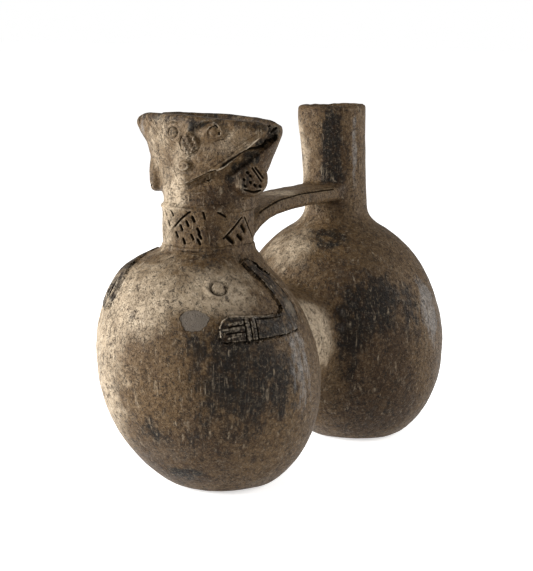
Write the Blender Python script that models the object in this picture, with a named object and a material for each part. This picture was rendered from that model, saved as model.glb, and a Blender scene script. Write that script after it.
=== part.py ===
"""Double spout bottle with a bridge handle, in smoke-fired clay.

Two egg shaped chambers stand one behind the other and share one hollow through a
short fat tube. The front chamber is a figure: its neck wears a collar and opens out
into a head whose flat topped funnel is the mouth of the bottle. The rear chamber
carries a plain round spout. A flat strap arches from the nape to the spout.

Metres, +Z up. The figure looks along -Y. The origin is under the middle of the
bottle's bounding box, on the surface that it stands on.
"""
import math

import bmesh
import bpy
from mathutils import Vector

# Driving sizes: the two chambers
AXIS_SPACING = 0.1442         # between the two necks
FRONT_RADIUS = 0.0600
FRONT_EQUATOR = 0.0631        # height of the widest ring
FRONT_FOOT_RADIUS = 0.0242    # flat spot that it stands on
FRONT_SHOULDER = 0.1290       # height where the neck starts
REAR_RADIUS = 0.0610
REAR_EQUATOR = 0.0634
REAR_FOOT_RADIUS = 0.0242
REAR_SHOULDER = 0.1292
SHOULDER_FILLET = 0.0035
WALL = 0.0050
FLOOR = 0.0070

# Driving sizes: the connecting tube
TUBE_HALF_WIDTH = 0.0289
TUBE_HALF_HEIGHT = 0.0336
TUBE_HEIGHT = 0.0630          # its axis above the surface
TUBE_FLARE = 0.0030
TUBE_END = 0.42               # distance of its buried ends from the axes, as a share of the radius
TUBE_MEETING = 0.87           # and of the place where it leaves the chambers

# Driving sizes: neck, collar and head, stacked upwards from the front shoulder
NECK_RADIUS = 0.0236
COLLAR_RISE = 0.0010          # collar above the neck
COLLAR_LENGTH = 0.0228
CHIN_GAP = 0.0017             # bare neck above the collar
HEAD_LENGTH = 0.0471          # from the neck to the middle of the lip
LIP_HALF_WIDTH = 0.0450
LIP_FRONT = 0.0182           # the face leans back a little
LIP_BACK = 0.0255
LIP_CORNER_DROP = 0.0034
LIP_LEAN = 0.0017             # how far the lip sinks towards one corner
LIP_ROUNDING = 0.0016
COLLAR_LOW = FRONT_SHOULDER
COLLAR_HIGH = COLLAR_LOW + COLLAR_LENGTH
HEAD_LOW = COLLAR_HIGH + CHIN_GAP
LIP_HEIGHT = HEAD_LOW + HEAD_LENGTH

# Driving sizes: the plain spout and the strap, measured up from their shoulders
SPOUT_RADIUS = 0.0188
SPOUT_MOUTH_RADIUS = 0.0198
SPOUT_LENGTH = 0.0680
STRAP_WIDTH = 0.0270
STRAP_THICKNESS = 0.0078
STRAP_REAR_RISE = 0.0185      # middle of the strap where it meets the spout
STRAP_FRONT_RISE = 0.0060     # and where it leaves the nape
STRAP_FLARE = 0.0050          # swelling at its two roots
STRAP_NECK_END = 0.6          # distance of its buried ends from the axes, as shares of the radii
STRAP_SPOUT_END = 0.5
SPOUT_HEIGHT = REAR_SHOULDER + SPOUT_LENGTH
STRAP_REAR_HEIGHT = REAR_SHOULDER + STRAP_REAR_RISE
STRAP_FRONT_HEIGHT = FRONT_SHOULDER + STRAP_FRONT_RISE

# Driving sizes: applied clay
SINK = 0.0030                 # how deep an applied form is bedded in the wall
PLATE_RISE = 0.0030           # face plate above the head
EAR_RADIUS = 0.0090
EAR_THICKNESS = 0.0080
LIMB_RISE = 0.0026            # arms above the chamber
NIPPLE_RADIUS = 0.0058
NIPPLE_RISE = 0.0016
FINGER_RISE = 0.0006          # fingers above the hand
FINGER_HALF_WIDTH = 0.0010
INCISION_WIDTH = 0.0014       # zigzag line cut round the collar
INCISION_DEPTH = 0.0007

# The face: heights as shares of the head's length, widths as shares of the lip's half width
CHIN_SHARE = 0.191
EAR_SHARE = 0.291
MOUTH_SHARE = 0.410
NOSE_LOW_SHARE = 0.567
EYE_SHARE = 0.775
NOSE_TOP_SHARE = 0.885
NOSE_SLANT = 0.078            # how far the ridge starts to one side
EYE_SPREAD = 0.289
EYE_HALF_WIDTH = 0.116
EYE_HALF_HEIGHT = 0.081
EYE_RISE = 0.031
MOUTH_HALF_WIDTH = 0.093
MOUTH_HALF_HEIGHT = 0.053
MOUTH_RISE = 0.049
NOSE_BEDDING = 0.3            # how far its sides are pressed in, as a share of the bedding
FACE_HALF_WIDTH = 0.94
CHIN_HALF_WIDTH = 0.16
# Stations down the nose: share of its length, half width and rise
NOSE_STATIONS = ((0.0, 0.027, 0.009), (0.35, 0.049, 0.040), (0.8, 0.093, 0.093), (1.0, 0.076, 0.044))

# Each chamber was built a little off its neck, along this direction
LEAN_TOWARDS = Vector((math.cos(math.radians(30)), math.sin(math.radians(30))))
FRONT_LEAN = 0.12             # shift of the foot, as a share of the radius
NECK_LEAN = 0.018
NECK_LEAN_FROM = 0.80         # share of the shoulder's height where the neck's own lean begins
REAR_LEAN = 0.20
REAR_LEAN_TOP = 1.9           # equator heights at which the rear lean has faded out

# Carving on the front chamber, as azimuths in degrees from -Y towards +X, shares of the
# shoulder height, and half widths of the limbs
HOLDING_ARM = ((70.0, 0.965, 0.0045), (82.0, 0.935, 0.0075), (92.0, 0.88, 0.0090),
               (95.0, 0.80, 0.0085), (91.0, 0.74, 0.0065), (78.0, 0.72, 0.0050),
               (62.0, 0.715, 0.0049), (54.0, 0.715, 0.0055), (43.5, 0.72, 0.0052))
RAISED_ARM = ((-88.0, 0.985, 0.0045), (-76.0, 0.955, 0.0055), (-66.0, 0.92, 0.0055),
              (-59.0, 0.88, 0.0060), (-50.0, 0.80, 0.0045))
# Hands: wrist, finger tips, and the step from finger to finger
HOLDING_HAND = ((52.0, 0.715), (45.5, 0.719), (0.0, 0.0200))
RAISED_HAND = ((-57.5, 0.87), (-51.5, 0.812), (-2.6, -0.0075))
NIPPLES = ((43.7, 0.879), (-47.0, 0.925))
ZIGZAGS = 5                   # peaks of the collar's zigzag

# Smoothness of the forms
FRONT_SIDES = 40
REAR_SIDES = 36
BORE_SIDES = 26
TUBE_SIDES = 26
EAR_SIDES = 14
NIPPLE_SIDES = 12

CLAY_COLOUR = (0.145, 0.115, 0.085, 1.0)
CLAY_ROUGHNESS = 0.55


def clear_scene():
    """Remove what the scene holds."""
    for obj in list(bpy.data.objects):
        bpy.data.objects.remove(obj)


def smooth_step(low, high, value):
    """Rise smoothly from 0 at low to 1 at high."""
    share = min(max((value - low) / (high - low), 0.0), 1.0)
    return share * share * (3.0 - 2.0 * share)


def smooth_max(a, b, blend):
    """The larger of two sizes, rounded where they cross."""
    overlap = max(blend - abs(a - b), 0.0) / blend
    return max(a, b) + overlap * overlap * blend / 4.0


class Chamber:
    """An egg shaped chamber: two half ellipsoids on one equator, on a flat foot."""

    def __init__(self, radius, equator, foot_radius, shoulder, neck_radius, axis_y, lean):
        self.radius = radius
        self.equator = equator
        self.neck_radius = neck_radius
        self.axis_y = axis_y
        self.lean = lean
        self.lower = equator / math.sqrt(1.0 - (foot_radius / radius) ** 2)
        self.upper = (shoulder - equator) / math.sqrt(1.0 - (neck_radius / radius) ** 2)

    def centre(self, z):
        """Where the ring at height z has its middle."""
        shift = self.lean(z)
        return Vector((shift * LEAN_TOWARDS.x, self.axis_y + shift * LEAN_TOWARDS.y))

    def egg_radius(self, z, inset):
        """Radius of the bare egg at height z, inset by a wall."""
        reach = (self.upper if z > self.equator else self.lower) - inset
        share = (z - self.equator) / reach
        return (self.radius - inset) * math.sqrt(max(1.0 - share * share, 0.0))

    def ring_radius(self, z, inset=0.0):
        """Radius with the neck, which the shoulder turns into."""
        egg = self.egg_radius(z, inset)
        if z < self.equator:
            return egg
        return smooth_max(egg, self.neck_radius - inset, SHOULDER_FILLET)

    def heights(self, low, inset, steps=8):
        """Ring heights from low to the root of the neck, close together where it curves."""
        lower = self.lower - inset
        upper = self.upper - inset
        first = math.asin((self.equator - low) / lower)
        last = math.acos((self.neck_radius - inset) / (self.radius - inset))
        below = [self.equator - lower * math.sin(first * (1.0 - i / steps)) for i in range(steps)]
        above = [self.equator + upper * math.sin(last * i / steps) for i in range(steps + 1)]
        return below + above

    def surface(self, azimuth, z):
        """Point on the outside, azimuth in degrees from -Y towards +X."""
        centre = self.centre(z)
        reach = self.ring_radius(z)
        turn = math.radians(azimuth)
        return Vector((centre.x + reach * math.sin(turn), centre.y - reach * math.cos(turn), z))

    def normal(self, azimuth, z):
        """Outward direction at a point on the outside."""
        step = 0.0005
        around = self.surface(azimuth + 0.5, z) - self.surface(azimuth - 0.5, z)
        upward = self.surface(azimuth, z + step) - self.surface(azimuth, z - step)
        return around.cross(upward).normalized()


def front_lean(z):
    """Shift of the front chamber's rings: the foot one way, the shoulder the other."""
    tilt = FRONT_LEAN * FRONT_RADIUS * (1.0 - z / FRONT_EQUATOR)
    neck = smooth_step(NECK_LEAN_FROM * FRONT_SHOULDER, FRONT_SHOULDER, z)
    return tilt * (1.0 - neck) + NECK_LEAN * FRONT_RADIUS * neck


def rear_lean(z):
    """Shift of the rear chamber's rings, which fades out upwards."""
    return REAR_LEAN * REAR_RADIUS * max(1.0 - z / (REAR_LEAN_TOP * REAR_EQUATOR), 0.0) ** 2


FRONT = Chamber(FRONT_RADIUS, FRONT_EQUATOR, FRONT_FOOT_RADIUS, FRONT_SHOULDER, NECK_RADIUS,
                -AXIS_SPACING / 2.0, front_lean)
REAR = Chamber(REAR_RADIUS, REAR_EQUATOR, REAR_FOOT_RADIUS, REAR_SHOULDER, SPOUT_RADIUS,
               AXIS_SPACING / 2.0, rear_lean)


def make_object(name, bm, guide=True):
    """Turn a bmesh into an object. A guide only shapes the bottle by a Boolean."""
    bmesh.ops.recalc_face_normals(bm, faces=bm.faces)
    mesh = bpy.data.meshes.new(name)
    bm.to_mesh(mesh)
    bm.free()
    mesh.shade_smooth()
    obj = bpy.data.objects.new(name, mesh)
    bpy.context.scene.collection.objects.link(obj)
    obj.hide_render = guide
    obj.display_type = 'WIRE' if guide else 'TEXTURED'
    return obj


def loft(bm, rings):
    """Skin closed rings of equally many points, and close both ends with a fan."""
    loops = [[bm.verts.new(point) for point in ring] for ring in rings]
    for lower, upper in zip(loops, loops[1:]):
        for i in range(len(lower)):
            j = (i + 1) % len(lower)
            bm.faces.new((lower[i], lower[j], upper[j], upper[i]))
    for loop in (loops[0], loops[-1]):
        middle = sum((vert.co for vert in loop), Vector()) / len(loop)
        tip = bm.verts.new(middle)
        for i in range(len(loop)):
            bm.faces.new((loop[i], loop[(i + 1) % len(loop)], tip))


def turns(count):
    """Equal turns round a circle, in radians."""
    return [2.0 * math.pi * i / count for i in range(count)]


def circle(centre, radius, z, sides):
    """Level ring of points."""
    return [Vector((centre.x + radius * math.cos(turn), centre.y + radius * math.sin(turn), z))
            for turn in turns(sides)]


def tilted_circle(centre, across, up, radius, sides):
    """Ring of points in the plane of two directions."""
    return [centre + (across * math.cos(turn) + up * math.sin(turn)) * radius for turn in turns(sides)]


def head_z(share):
    """Height at a share of the head's length."""
    return HEAD_LOW + share * HEAD_LENGTH


def lip_z(x):
    """Height of the head's lip: it arches over the face and sinks to one corner."""
    share = x / LIP_HALF_WIDTH
    return LIP_HEIGHT - LIP_CORNER_DROP * abs(share) ** 1.5 - LIP_LEAN * share


def head_plan(share, inset):
    """Half width, reach to the front and back, and roundness of the head at a share of its height."""
    neck = NECK_RADIUS - inset
    width = neck + (LIP_HALF_WIDTH - inset - neck) * share ** 0.8
    front = neck + (LIP_FRONT - inset - neck) * share
    back = neck + (LIP_BACK - inset - neck) * share
    roundness = 2.0 - 0.60 * share
    return width, front, back, roundness


def head_ring(share, inset, sides, extra_z=0.0):
    """Ring of the head: round at the neck, a lens with two sharp corners at the lip."""
    width, front, back, roundness = head_plan(min(share, 1.0), inset)
    centre = FRONT.centre(HEAD_LOW)
    ring = []
    for turn in turns(sides):
        cos, sin = math.cos(turn), math.sin(turn)
        depth = back if sin > 0.0 else front
        reach = (abs(cos / width) ** roundness + abs(sin / depth) ** roundness) ** (-1.0 / roundness)
        x, y = reach * cos, reach * sin
        z = HEAD_LOW + share * (lip_z(x) - HEAD_LOW) + extra_z
        ring.append(Vector((centre.x + x, centre.y + y, z)))
    return ring


def head_front(x, z):
    """Y of the head's front at a place on the face."""
    share = min(max((z - HEAD_LOW) / (lip_z(x) - HEAD_LOW), 0.0), 1.0)
    width, front, _back, roundness = head_plan(share, 0.0)
    across = min(abs(x) / width, 0.999)
    return FRONT.centre(z).y - front * (1.0 - across ** roundness) ** (1.0 / roundness)


def front_body():
    """Front chamber, neck, collar and head as one solid form."""
    collar = NECK_RADIUS + COLLAR_RISE
    step = COLLAR_RISE / 2.0
    under = COLLAR_LOW - step
    rings = [circle(FRONT.centre(z), FRONT.ring_radius(z), z, FRONT_SIDES)
             for z in FRONT.heights(0.0, 0.0) if z < under]
    for z, radius in ((under, FRONT.ring_radius(under)), (COLLAR_LOW + step, collar),
                      (COLLAR_HIGH - step, collar), (COLLAR_HIGH + step, NECK_RADIUS)):
        rings.append(circle(FRONT.centre(z), radius, z, FRONT_SIDES))
    for share in (0.02, 0.12, 0.28, 0.46, 0.64, 0.82, 0.96):
        rings.append(head_ring(share, 0.0, FRONT_SIDES))
    rings.append(head_ring(1.0, LIP_ROUNDING, FRONT_SIDES))
    bm = bmesh.new()
    loft(bm, rings)
    return make_object("double_spout_bottle", bm, guide=False)


def front_hollow():
    """Hollow of the front chamber, opening through neck and head."""
    top = FRONT_SHOULDER - 0.5 * WALL
    rings = [circle(FRONT.centre(z), FRONT.ring_radius(z, WALL), z, BORE_SIDES)
             for z in FRONT.heights(FLOOR, WALL) if z < top]
    bore = NECK_RADIUS - WALL
    rings.append(circle(FRONT.centre(COLLAR_LOW), bore, COLLAR_LOW, BORE_SIDES))
    rings.append(circle(FRONT.centre(COLLAR_HIGH), bore, COLLAR_HIGH, BORE_SIDES))
    for share in (0.05, 0.3, 0.55, 0.8, 1.0):
        rings.append(head_ring(share, WALL, BORE_SIDES))
    rings.append(head_ring(1.0, WALL, BORE_SIDES, extra_z=LIP_HALF_WIDTH / 2.0))
    bm = bmesh.new()
    loft(bm, rings)
    return make_object("front_hollow", bm)


def rear_body():
    """Rear chamber with its plain spout."""
    rings = [circle(REAR.centre(z), REAR.ring_radius(z), z, REAR_SIDES) for z in REAR.heights(0.0, 0.0)]
    spout_low = REAR_SHOULDER + SHOULDER_FILLET
    for share in (0.0, 0.35, 0.7, 0.96):
        z = spout_low + share * (SPOUT_HEIGHT - spout_low)
        radius = SPOUT_RADIUS + (SPOUT_MOUTH_RADIUS - SPOUT_RADIUS) * share * share
        rings.append(circle(REAR.centre(z), radius, z, REAR_SIDES))
    lip = SPOUT_MOUTH_RADIUS - LIP_ROUNDING
    rings.append(circle(REAR.centre(SPOUT_HEIGHT), lip, SPOUT_HEIGHT, REAR_SIDES))
    bm = bmesh.new()
    loft(bm, rings)
    return make_object("rear_body", bm)


def rear_hollow():
    """Hollow of the rear chamber, opening through its spout."""
    top = REAR_SHOULDER - 0.5 * WALL
    rings = [circle(REAR.centre(z), REAR.ring_radius(z, WALL), z, BORE_SIDES)
             for z in REAR.heights(FLOOR, WALL) if z < top]
    above = SPOUT_HEIGHT + 2.0 * WALL
    rings.append(circle(REAR.centre(REAR_SHOULDER), SPOUT_RADIUS - WALL, REAR_SHOULDER, BORE_SIDES))
    rings.append(circle(REAR.centre(SPOUT_HEIGHT), SPOUT_MOUTH_RADIUS - WALL, SPOUT_HEIGHT, BORE_SIDES))
    rings.append(circle(REAR.centre(above), SPOUT_MOUTH_RADIUS - WALL, above, BORE_SIDES))
    bm = bmesh.new()
    loft(bm, rings)
    return make_object("rear_hollow", bm)


def tube(name, inset, flare):
    """Oval tube along Y, from deep in one chamber to deep in the other."""
    radius = min(FRONT_RADIUS, REAR_RADIUS)
    reach = AXIS_SPACING / 2.0 - TUBE_END * radius
    meeting = AXIS_SPACING / 2.0 - TUBE_MEETING * radius
    rings = []
    for share in (-1.0, -0.62, -0.46, -0.32, -0.16, 0.16, 0.32, 0.46, 0.62, 1.0):
        y = share * reach
        swell = flare * smooth_step(0.35 * meeting, 1.2 * meeting, abs(y)) - inset
        ring = []
        for i in range(TUBE_SIDES):
            turn = 2.0 * math.pi * (i + 0.5) / TUBE_SIDES
            ring.append(Vector(((TUBE_HALF_WIDTH + swell) * math.cos(turn), y,
                                TUBE_HEIGHT + (TUBE_HALF_HEIGHT + swell) * math.sin(turn))))
        rings.append(ring)
    bm = bmesh.new()
    loft(bm, rings)
    return make_object(name, bm)


def strap():
    """Bridge handle: a flat strap that climbs from the nape and levels out at the spout."""
    start = Vector((0.0, STRAP_NECK_END * NECK_RADIUS - AXIS_SPACING / 2.0, STRAP_FRONT_HEIGHT))
    end = Vector((0.0, AXIS_SPACING / 2.0 - STRAP_SPOUT_END * SPOUT_RADIUS, STRAP_REAR_HEIGHT))
    length = end.y - start.y
    climb = end.z - start.z
    handles = (start, start + Vector((0.0, 0.20 * length, climb)),
               end - Vector((0.0, 0.55 * length, 0.0)), end)
    rings = []
    for share in (0.0, 0.08, 0.16, 0.26, 0.4, 0.55, 0.7, 0.80, 0.90, 1.0):
        rest = 1.0 - share
        weights = (rest ** 3, 3.0 * rest * rest * share, 3.0 * rest * share * share, share ** 3)
        slopes = (-3.0 * rest * rest, 3.0 * rest * rest - 6.0 * rest * share,
                  6.0 * rest * share - 3.0 * share * share, 3.0 * share * share)
        middle = sum((p * w for p, w in zip(handles, weights)), Vector())
        along = sum((p * w for p, w in zip(handles, slopes)), Vector()).normalized()
        upward = Vector((0.0, -along.z, along.y))
        root = max(1.0 - smooth_step(0.06, 0.24, share), smooth_step(0.78, 0.94, share))
        half_width = STRAP_WIDTH / 2.0 + 0.4 * STRAP_FLARE * root
        half_depth = STRAP_THICKNESS / 2.0 + 0.5 * STRAP_FLARE * root
        edge = 0.35 * STRAP_THICKNESS
        outline = ((half_width, -0.4 * half_depth), (half_width, 0.4 * half_depth),
                   (half_width - 0.4 * edge, 0.85 * half_depth), (half_width - edge, half_depth),
                   (0.0, 0.93 * half_depth))
        outline += tuple((-x, z) for x, z in reversed(outline[:4]))
        outline += tuple((x, -z) for x, z in ((-half_width + 0.4 * edge, 0.85 * half_depth),
                                              (-half_width + edge, half_depth), (0.0, half_depth),
                                              (half_width - edge, half_depth),
                                              (half_width - 0.4 * edge, 0.85 * half_depth)))
        rings.append([middle + Vector((x, 0.0, 0.0)) + upward * z for x, z in outline])
    bm = bmesh.new()
    loft(bm, rings)
    return make_object("strap", bm)


def face_plate():
    """Triangular face, standing proud of the head above two slanting jaw edges."""
    rows, columns = 7, 8
    corner = FACE_HALF_WIDTH * LIP_HALF_WIDTH
    chin_half = CHIN_HALF_WIDTH * LIP_HALF_WIDTH
    chin_z = head_z(CHIN_SHARE)
    centre_x = FRONT.centre(HEAD_LOW).x
    rings = []
    for row in range(rows + 1):
        share = row / rows
        outer, inner = [], []
        for column in range(columns + 1):
            across = 2.0 * column / columns - 1.0
            x = across * (chin_half + (corner - chin_half) * share)
            z = chin_z + (lip_z(x) - LIP_ROUNDING - chin_z) * share
            fade = 1.0 - 0.75 * abs(across) ** 6 * share
            y = head_front(x, z)
            outer.append(Vector((centre_x + x, y - PLATE_RISE * fade, z)))
            inner.append(Vector((centre_x + x * 0.97, y + SINK * fade, z)))
        rings.append(outer + inner[::-1])
    bm = bmesh.new()
    loft(bm, rings)
    return make_object("face_plate", bm)


def add_button(bm, x, z, half_width, half_height, rise):
    """Rounded button on the face, such as an eye, sized in shares of the lip's half width."""
    sizes = (x, half_width, half_height, rise)
    x, half_width, half_height, rise = (size * LIP_HALF_WIDTH for size in sizes)
    y = head_front(x, z) - PLATE_RISE
    centre_x = FRONT.centre(HEAD_LOW).x
    made = bmesh.ops.create_uvsphere(bm, u_segments=12, v_segments=7, radius=1.0)
    for vert in made["verts"]:
        across, upward, outward = vert.co
        vert.co = Vector((centre_x + x + across * half_width, y + outward * rise, z + upward * half_height))


def add_nose(bm):
    """Ridge that widens from the brow to a blunt tip."""
    rings = []
    centre_x = FRONT.centre(HEAD_LOW).x
    for share, half_share, rise_share in NOSE_STATIONS:
        half_width, rise = half_share * LIP_HALF_WIDTH, rise_share * LIP_HALF_WIDTH
        z = head_z(NOSE_TOP_SHARE - (NOSE_TOP_SHARE - NOSE_LOW_SHARE) * share)
        x = NOSE_SLANT * LIP_HALF_WIDTH * (1.0 - share)
        y = head_front(x, z) - PLATE_RISE
        side_y = y + NOSE_BEDDING * SINK
        rings.append([Vector((centre_x + x - half_width, side_y, z)), Vector((centre_x + x, y - rise, z)),
                      Vector((centre_x + x + half_width, side_y, z)), Vector((centre_x + x, y + SINK, z))])
    loft(bm, rings)


def face_features():
    """Two eyes, a mouth and the nose."""
    bm = bmesh.new()
    for side in (-1.0, 1.0):
        add_button(bm, side * EYE_SPREAD, head_z(EYE_SHARE), EYE_HALF_WIDTH, EYE_HALF_HEIGHT, EYE_RISE)
    add_button(bm, 0.0, head_z(MOUTH_SHARE), MOUTH_HALF_WIDTH, MOUTH_HALF_HEIGHT, MOUTH_RISE)
    add_nose(bm)
    return make_object("face_features", bm)


def ears():
    """Round ear ornaments, thick discs that look outwards and a little forwards."""
    bm = bmesh.new()
    for side in (-1.0, 1.0):
        middle = Vector((FRONT.centre(HEAD_LOW).x + side * (NECK_RADIUS + 0.6 * EAR_THICKNESS),
                         FRONT.axis_y - 0.2 * NECK_RADIUS, head_z(EAR_SHARE)))
        facing = Vector((side * 0.80, -0.60, 0.0))
        across = Vector((-facing.y, facing.x, 0.0))
        up = Vector((0.0, 0.0, 1.0))
        rings = []
        for depth, reach in ((-1.0, 0.80), (-0.5, 0.97), (0.15, 1.0), (0.40, 0.88), (0.50, 0.70)):
            start = middle + facing * (depth * EAR_THICKNESS)
            rings.append(tilted_circle(start, across, up, reach * EAR_RADIUS, EAR_SIDES))
        loft(bm, rings)
    return make_object("ears", bm)


def add_limb(bm, route, rise, sink):
    """Flat modelled limb along a route of (azimuth, share of the shoulder height, half width)."""
    rings = []
    stations = []
    for azimuth, share, half_width in route:
        z = share * FRONT_SHOULDER
        stations.append((FRONT.surface(azimuth, z), FRONT.normal(azimuth, z), half_width))
    for i, (point, normal, half_width) in enumerate(stations):
        before = stations[max(i - 1, 0)][0]
        after = stations[min(i + 1, len(stations) - 1)][0]
        side = normal.cross((after - before).normalized()).normalized()
        outline = ((-1.0, 0.25), (-0.75, 0.85), (0.0, 1.0), (0.75, 0.85), (1.0, 0.25))
        ring = [point + side * (u * half_width) + normal * (v * rise) for u, v in outline]
        ring += [point + side * (u * half_width) - normal * sink for u in (0.85, 0.0, -0.85)]
        rings.append(ring)
    loft(bm, rings)


def arm(name, route):
    """One arm, from the shoulder to the hand."""
    bm = bmesh.new()
    add_limb(bm, route, LIMB_RISE, SINK)
    return make_object(name, bm)


def nipple(name, azimuth, height):
    """Flat button with a dished middle."""
    z = height * FRONT_SHOULDER
    point = FRONT.surface(azimuth, z)
    normal = FRONT.normal(azimuth, z)
    across = normal.cross(Vector((0.0, 0.0, 1.0))).normalized()
    up = across.cross(normal)
    rings = []
    for depth, reach in ((-SINK, 0.9), (0.0, 1.0), (NIPPLE_RISE, 0.85), (0.4 * NIPPLE_RISE, 0.55)):
        middle = point + normal * depth
        rings.append(tilted_circle(middle, across, up, reach * NIPPLE_RADIUS, NIPPLE_SIDES))
    bm = bmesh.new()
    loft(bm, rings)
    return make_object(name, bm)


def fingers(name, wrist, tip, across):
    """Four fingers side by side on a hand."""
    bm = bmesh.new()
    for i in range(4):
        aside = i - 1.5
        route = []
        for share in (0.0, 0.5, 1.0):
            azimuth = wrist[0] + (tip[0] - wrist[0]) * share + across[0] * aside
            height = wrist[1] + (tip[1] - wrist[1]) * share + across[1] * aside
            route.append((azimuth, height, FINGER_HALF_WIDTH * (1.0 if share < 1.0 else 0.8)))
        add_limb(bm, route, LIMB_RISE + FINGER_RISE, 0.5 * SINK)
    return make_object(name, bm)


def collar_zigzag():
    """Cutter for the zigzag line incised round the collar, from one side of the strap to the other."""
    collar = NECK_RADIUS + COLLAR_RISE
    margin = 2.0 * INCISION_WIDTH
    centre = FRONT.centre(COLLAR_HIGH)
    inner, outer = collar - INCISION_DEPTH, collar + SINK
    covered = math.asin(min((STRAP_WIDTH / 2.0 + STRAP_FLARE) / collar, 1.0))
    first = math.pi / 2.0 + covered
    steps = 4 * ZIGZAGS
    rings = []
    for i in range(steps + 1):
        turn = first + (2.0 * math.pi - 2.0 * covered) * i / steps
        fold = (0.0, 0.5, 1.0, 0.5)[i % 4]
        z = COLLAR_LOW + margin + (COLLAR_HIGH - COLLAR_LOW - 2.0 * margin) * fold
        half = INCISION_WIDTH * (0.8 if i % 2 else 1.0)
        outline = ((inner, -0.3 * half), (outer, -half), (outer, half), (inner, 0.3 * half))
        cos, sin = math.cos(turn), math.sin(turn)
        rings.append([Vector((centre.x + reach * cos, centre.y + reach * sin, z + shift))
                      for reach, shift in outline])
    bm = bmesh.new()
    loft(bm, rings)
    return make_object("collar_zigzag", bm)


def combine(body, guide, operation):
    """Add a form to the bottle or take one away."""
    modifier = body.modifiers.new(guide.name, 'BOOLEAN')
    modifier.operation = operation
    modifier.object = guide
    modifier.solver = 'EXACT'


def clay_material():
    """Burnished, smoke-fired brown clay."""
    material = bpy.data.materials.new("burnished_clay")
    material.use_nodes = True
    shader = material.node_tree.nodes["Principled BSDF"]
    shader.inputs["Base Color"].default_value = CLAY_COLOUR
    shader.inputs["Roughness"].default_value = CLAY_ROUGHNESS
    shader.inputs["Metallic"].default_value = 0.0
    return material


def centre_on_origin(objects):
    """Put the middle of the bottle's bounding box over the origin."""
    bpy.context.view_layer.update()
    solid = objects[0].evaluated_get(bpy.context.evaluated_depsgraph_get()).to_mesh()
    xs, ys, zs = zip(*(vert.co for vert in solid.vertices))
    middle = Vector(((min(xs) + max(xs)) / 2.0, (min(ys) + max(ys)) / 2.0, min(zs)))
    frame = bpy.data.objects.new("bottle_frame", None)
    bpy.context.scene.collection.objects.link(frame)
    frame.location = -middle
    for obj in objects:
        obj.parent = frame


def main():
    """Build the bottle."""
    clear_scene()
    body = front_body()
    body.data.materials.append(clay_material())
    added = [arm("holding_arm", HOLDING_ARM), arm("raised_arm", RAISED_ARM),
             nipple("left_nipple", *NIPPLES[0]), nipple("right_nipple", *NIPPLES[1]),
             fingers("holding_fingers", *HOLDING_HAND), fingers("raised_fingers", *RAISED_HAND),
             rear_body(), tube("tube", 0.0, TUBE_FLARE), strap(), ears(), face_plate(), face_features()]
    removed = [front_hollow(), rear_hollow(), tube("tube_hollow", WALL, 0.0), collar_zigzag()]
    for guide in added:
        combine(body, guide, 'UNION')
    for guide in removed:
        combine(body, guide, 'DIFFERENCE')
    centre_on_origin([body] + added + removed)


main()
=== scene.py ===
"""Looks of a double spout bottle with a bridge handle, in smoke-fired, burnished clay.

The bottle is one piece of clay, so one piece stands for its one node. Its form is a set
of signed distances: two leaning eggs, a tube, a strap, a plain spout and a figure's head
on a collared neck. A mesh is laid over that form, made finer where the clay is modelled,
and then marked with a stylus by Geometry Nodes.

Metres, +Z up. The figure looks along -Y.
"""

import math

import bpy
import numpy as np
from bpy.props import FloatProperty, PointerProperty, StringProperty
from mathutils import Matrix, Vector, kdtree


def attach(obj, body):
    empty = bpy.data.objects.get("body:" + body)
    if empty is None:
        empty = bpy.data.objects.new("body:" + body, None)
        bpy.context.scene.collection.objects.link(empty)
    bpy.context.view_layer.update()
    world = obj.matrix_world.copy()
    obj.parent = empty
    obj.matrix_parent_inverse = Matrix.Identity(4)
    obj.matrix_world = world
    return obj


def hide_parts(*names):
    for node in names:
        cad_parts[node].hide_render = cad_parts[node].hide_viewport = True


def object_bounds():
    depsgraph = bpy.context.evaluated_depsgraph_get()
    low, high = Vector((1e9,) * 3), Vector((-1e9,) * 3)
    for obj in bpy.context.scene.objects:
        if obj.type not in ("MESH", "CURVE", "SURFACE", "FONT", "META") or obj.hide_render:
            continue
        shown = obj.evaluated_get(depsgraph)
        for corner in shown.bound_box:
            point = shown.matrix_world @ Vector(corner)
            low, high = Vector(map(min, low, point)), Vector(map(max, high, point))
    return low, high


bl_info = {
    "name": "Double Spout Bottle",
    "version": (1, 0, 0),
    "blender": (4, 5, 0),
    "location": "3D Viewport > Sidebar > Bottle",
    "description": "Smoke-fired clay bottle with a figure's head, a plain spout and a bridge handle",
    "category": "Add Mesh",
}

NODE = "double_spout_bottle"
MM = 0.001

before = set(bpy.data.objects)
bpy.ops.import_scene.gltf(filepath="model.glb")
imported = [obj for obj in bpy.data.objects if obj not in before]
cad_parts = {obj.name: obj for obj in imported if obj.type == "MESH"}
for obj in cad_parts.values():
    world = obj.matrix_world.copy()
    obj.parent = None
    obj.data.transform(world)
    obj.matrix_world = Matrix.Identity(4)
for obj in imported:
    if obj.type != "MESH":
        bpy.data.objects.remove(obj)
CAD_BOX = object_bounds()


# Sizes and colours that a user would change

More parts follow.
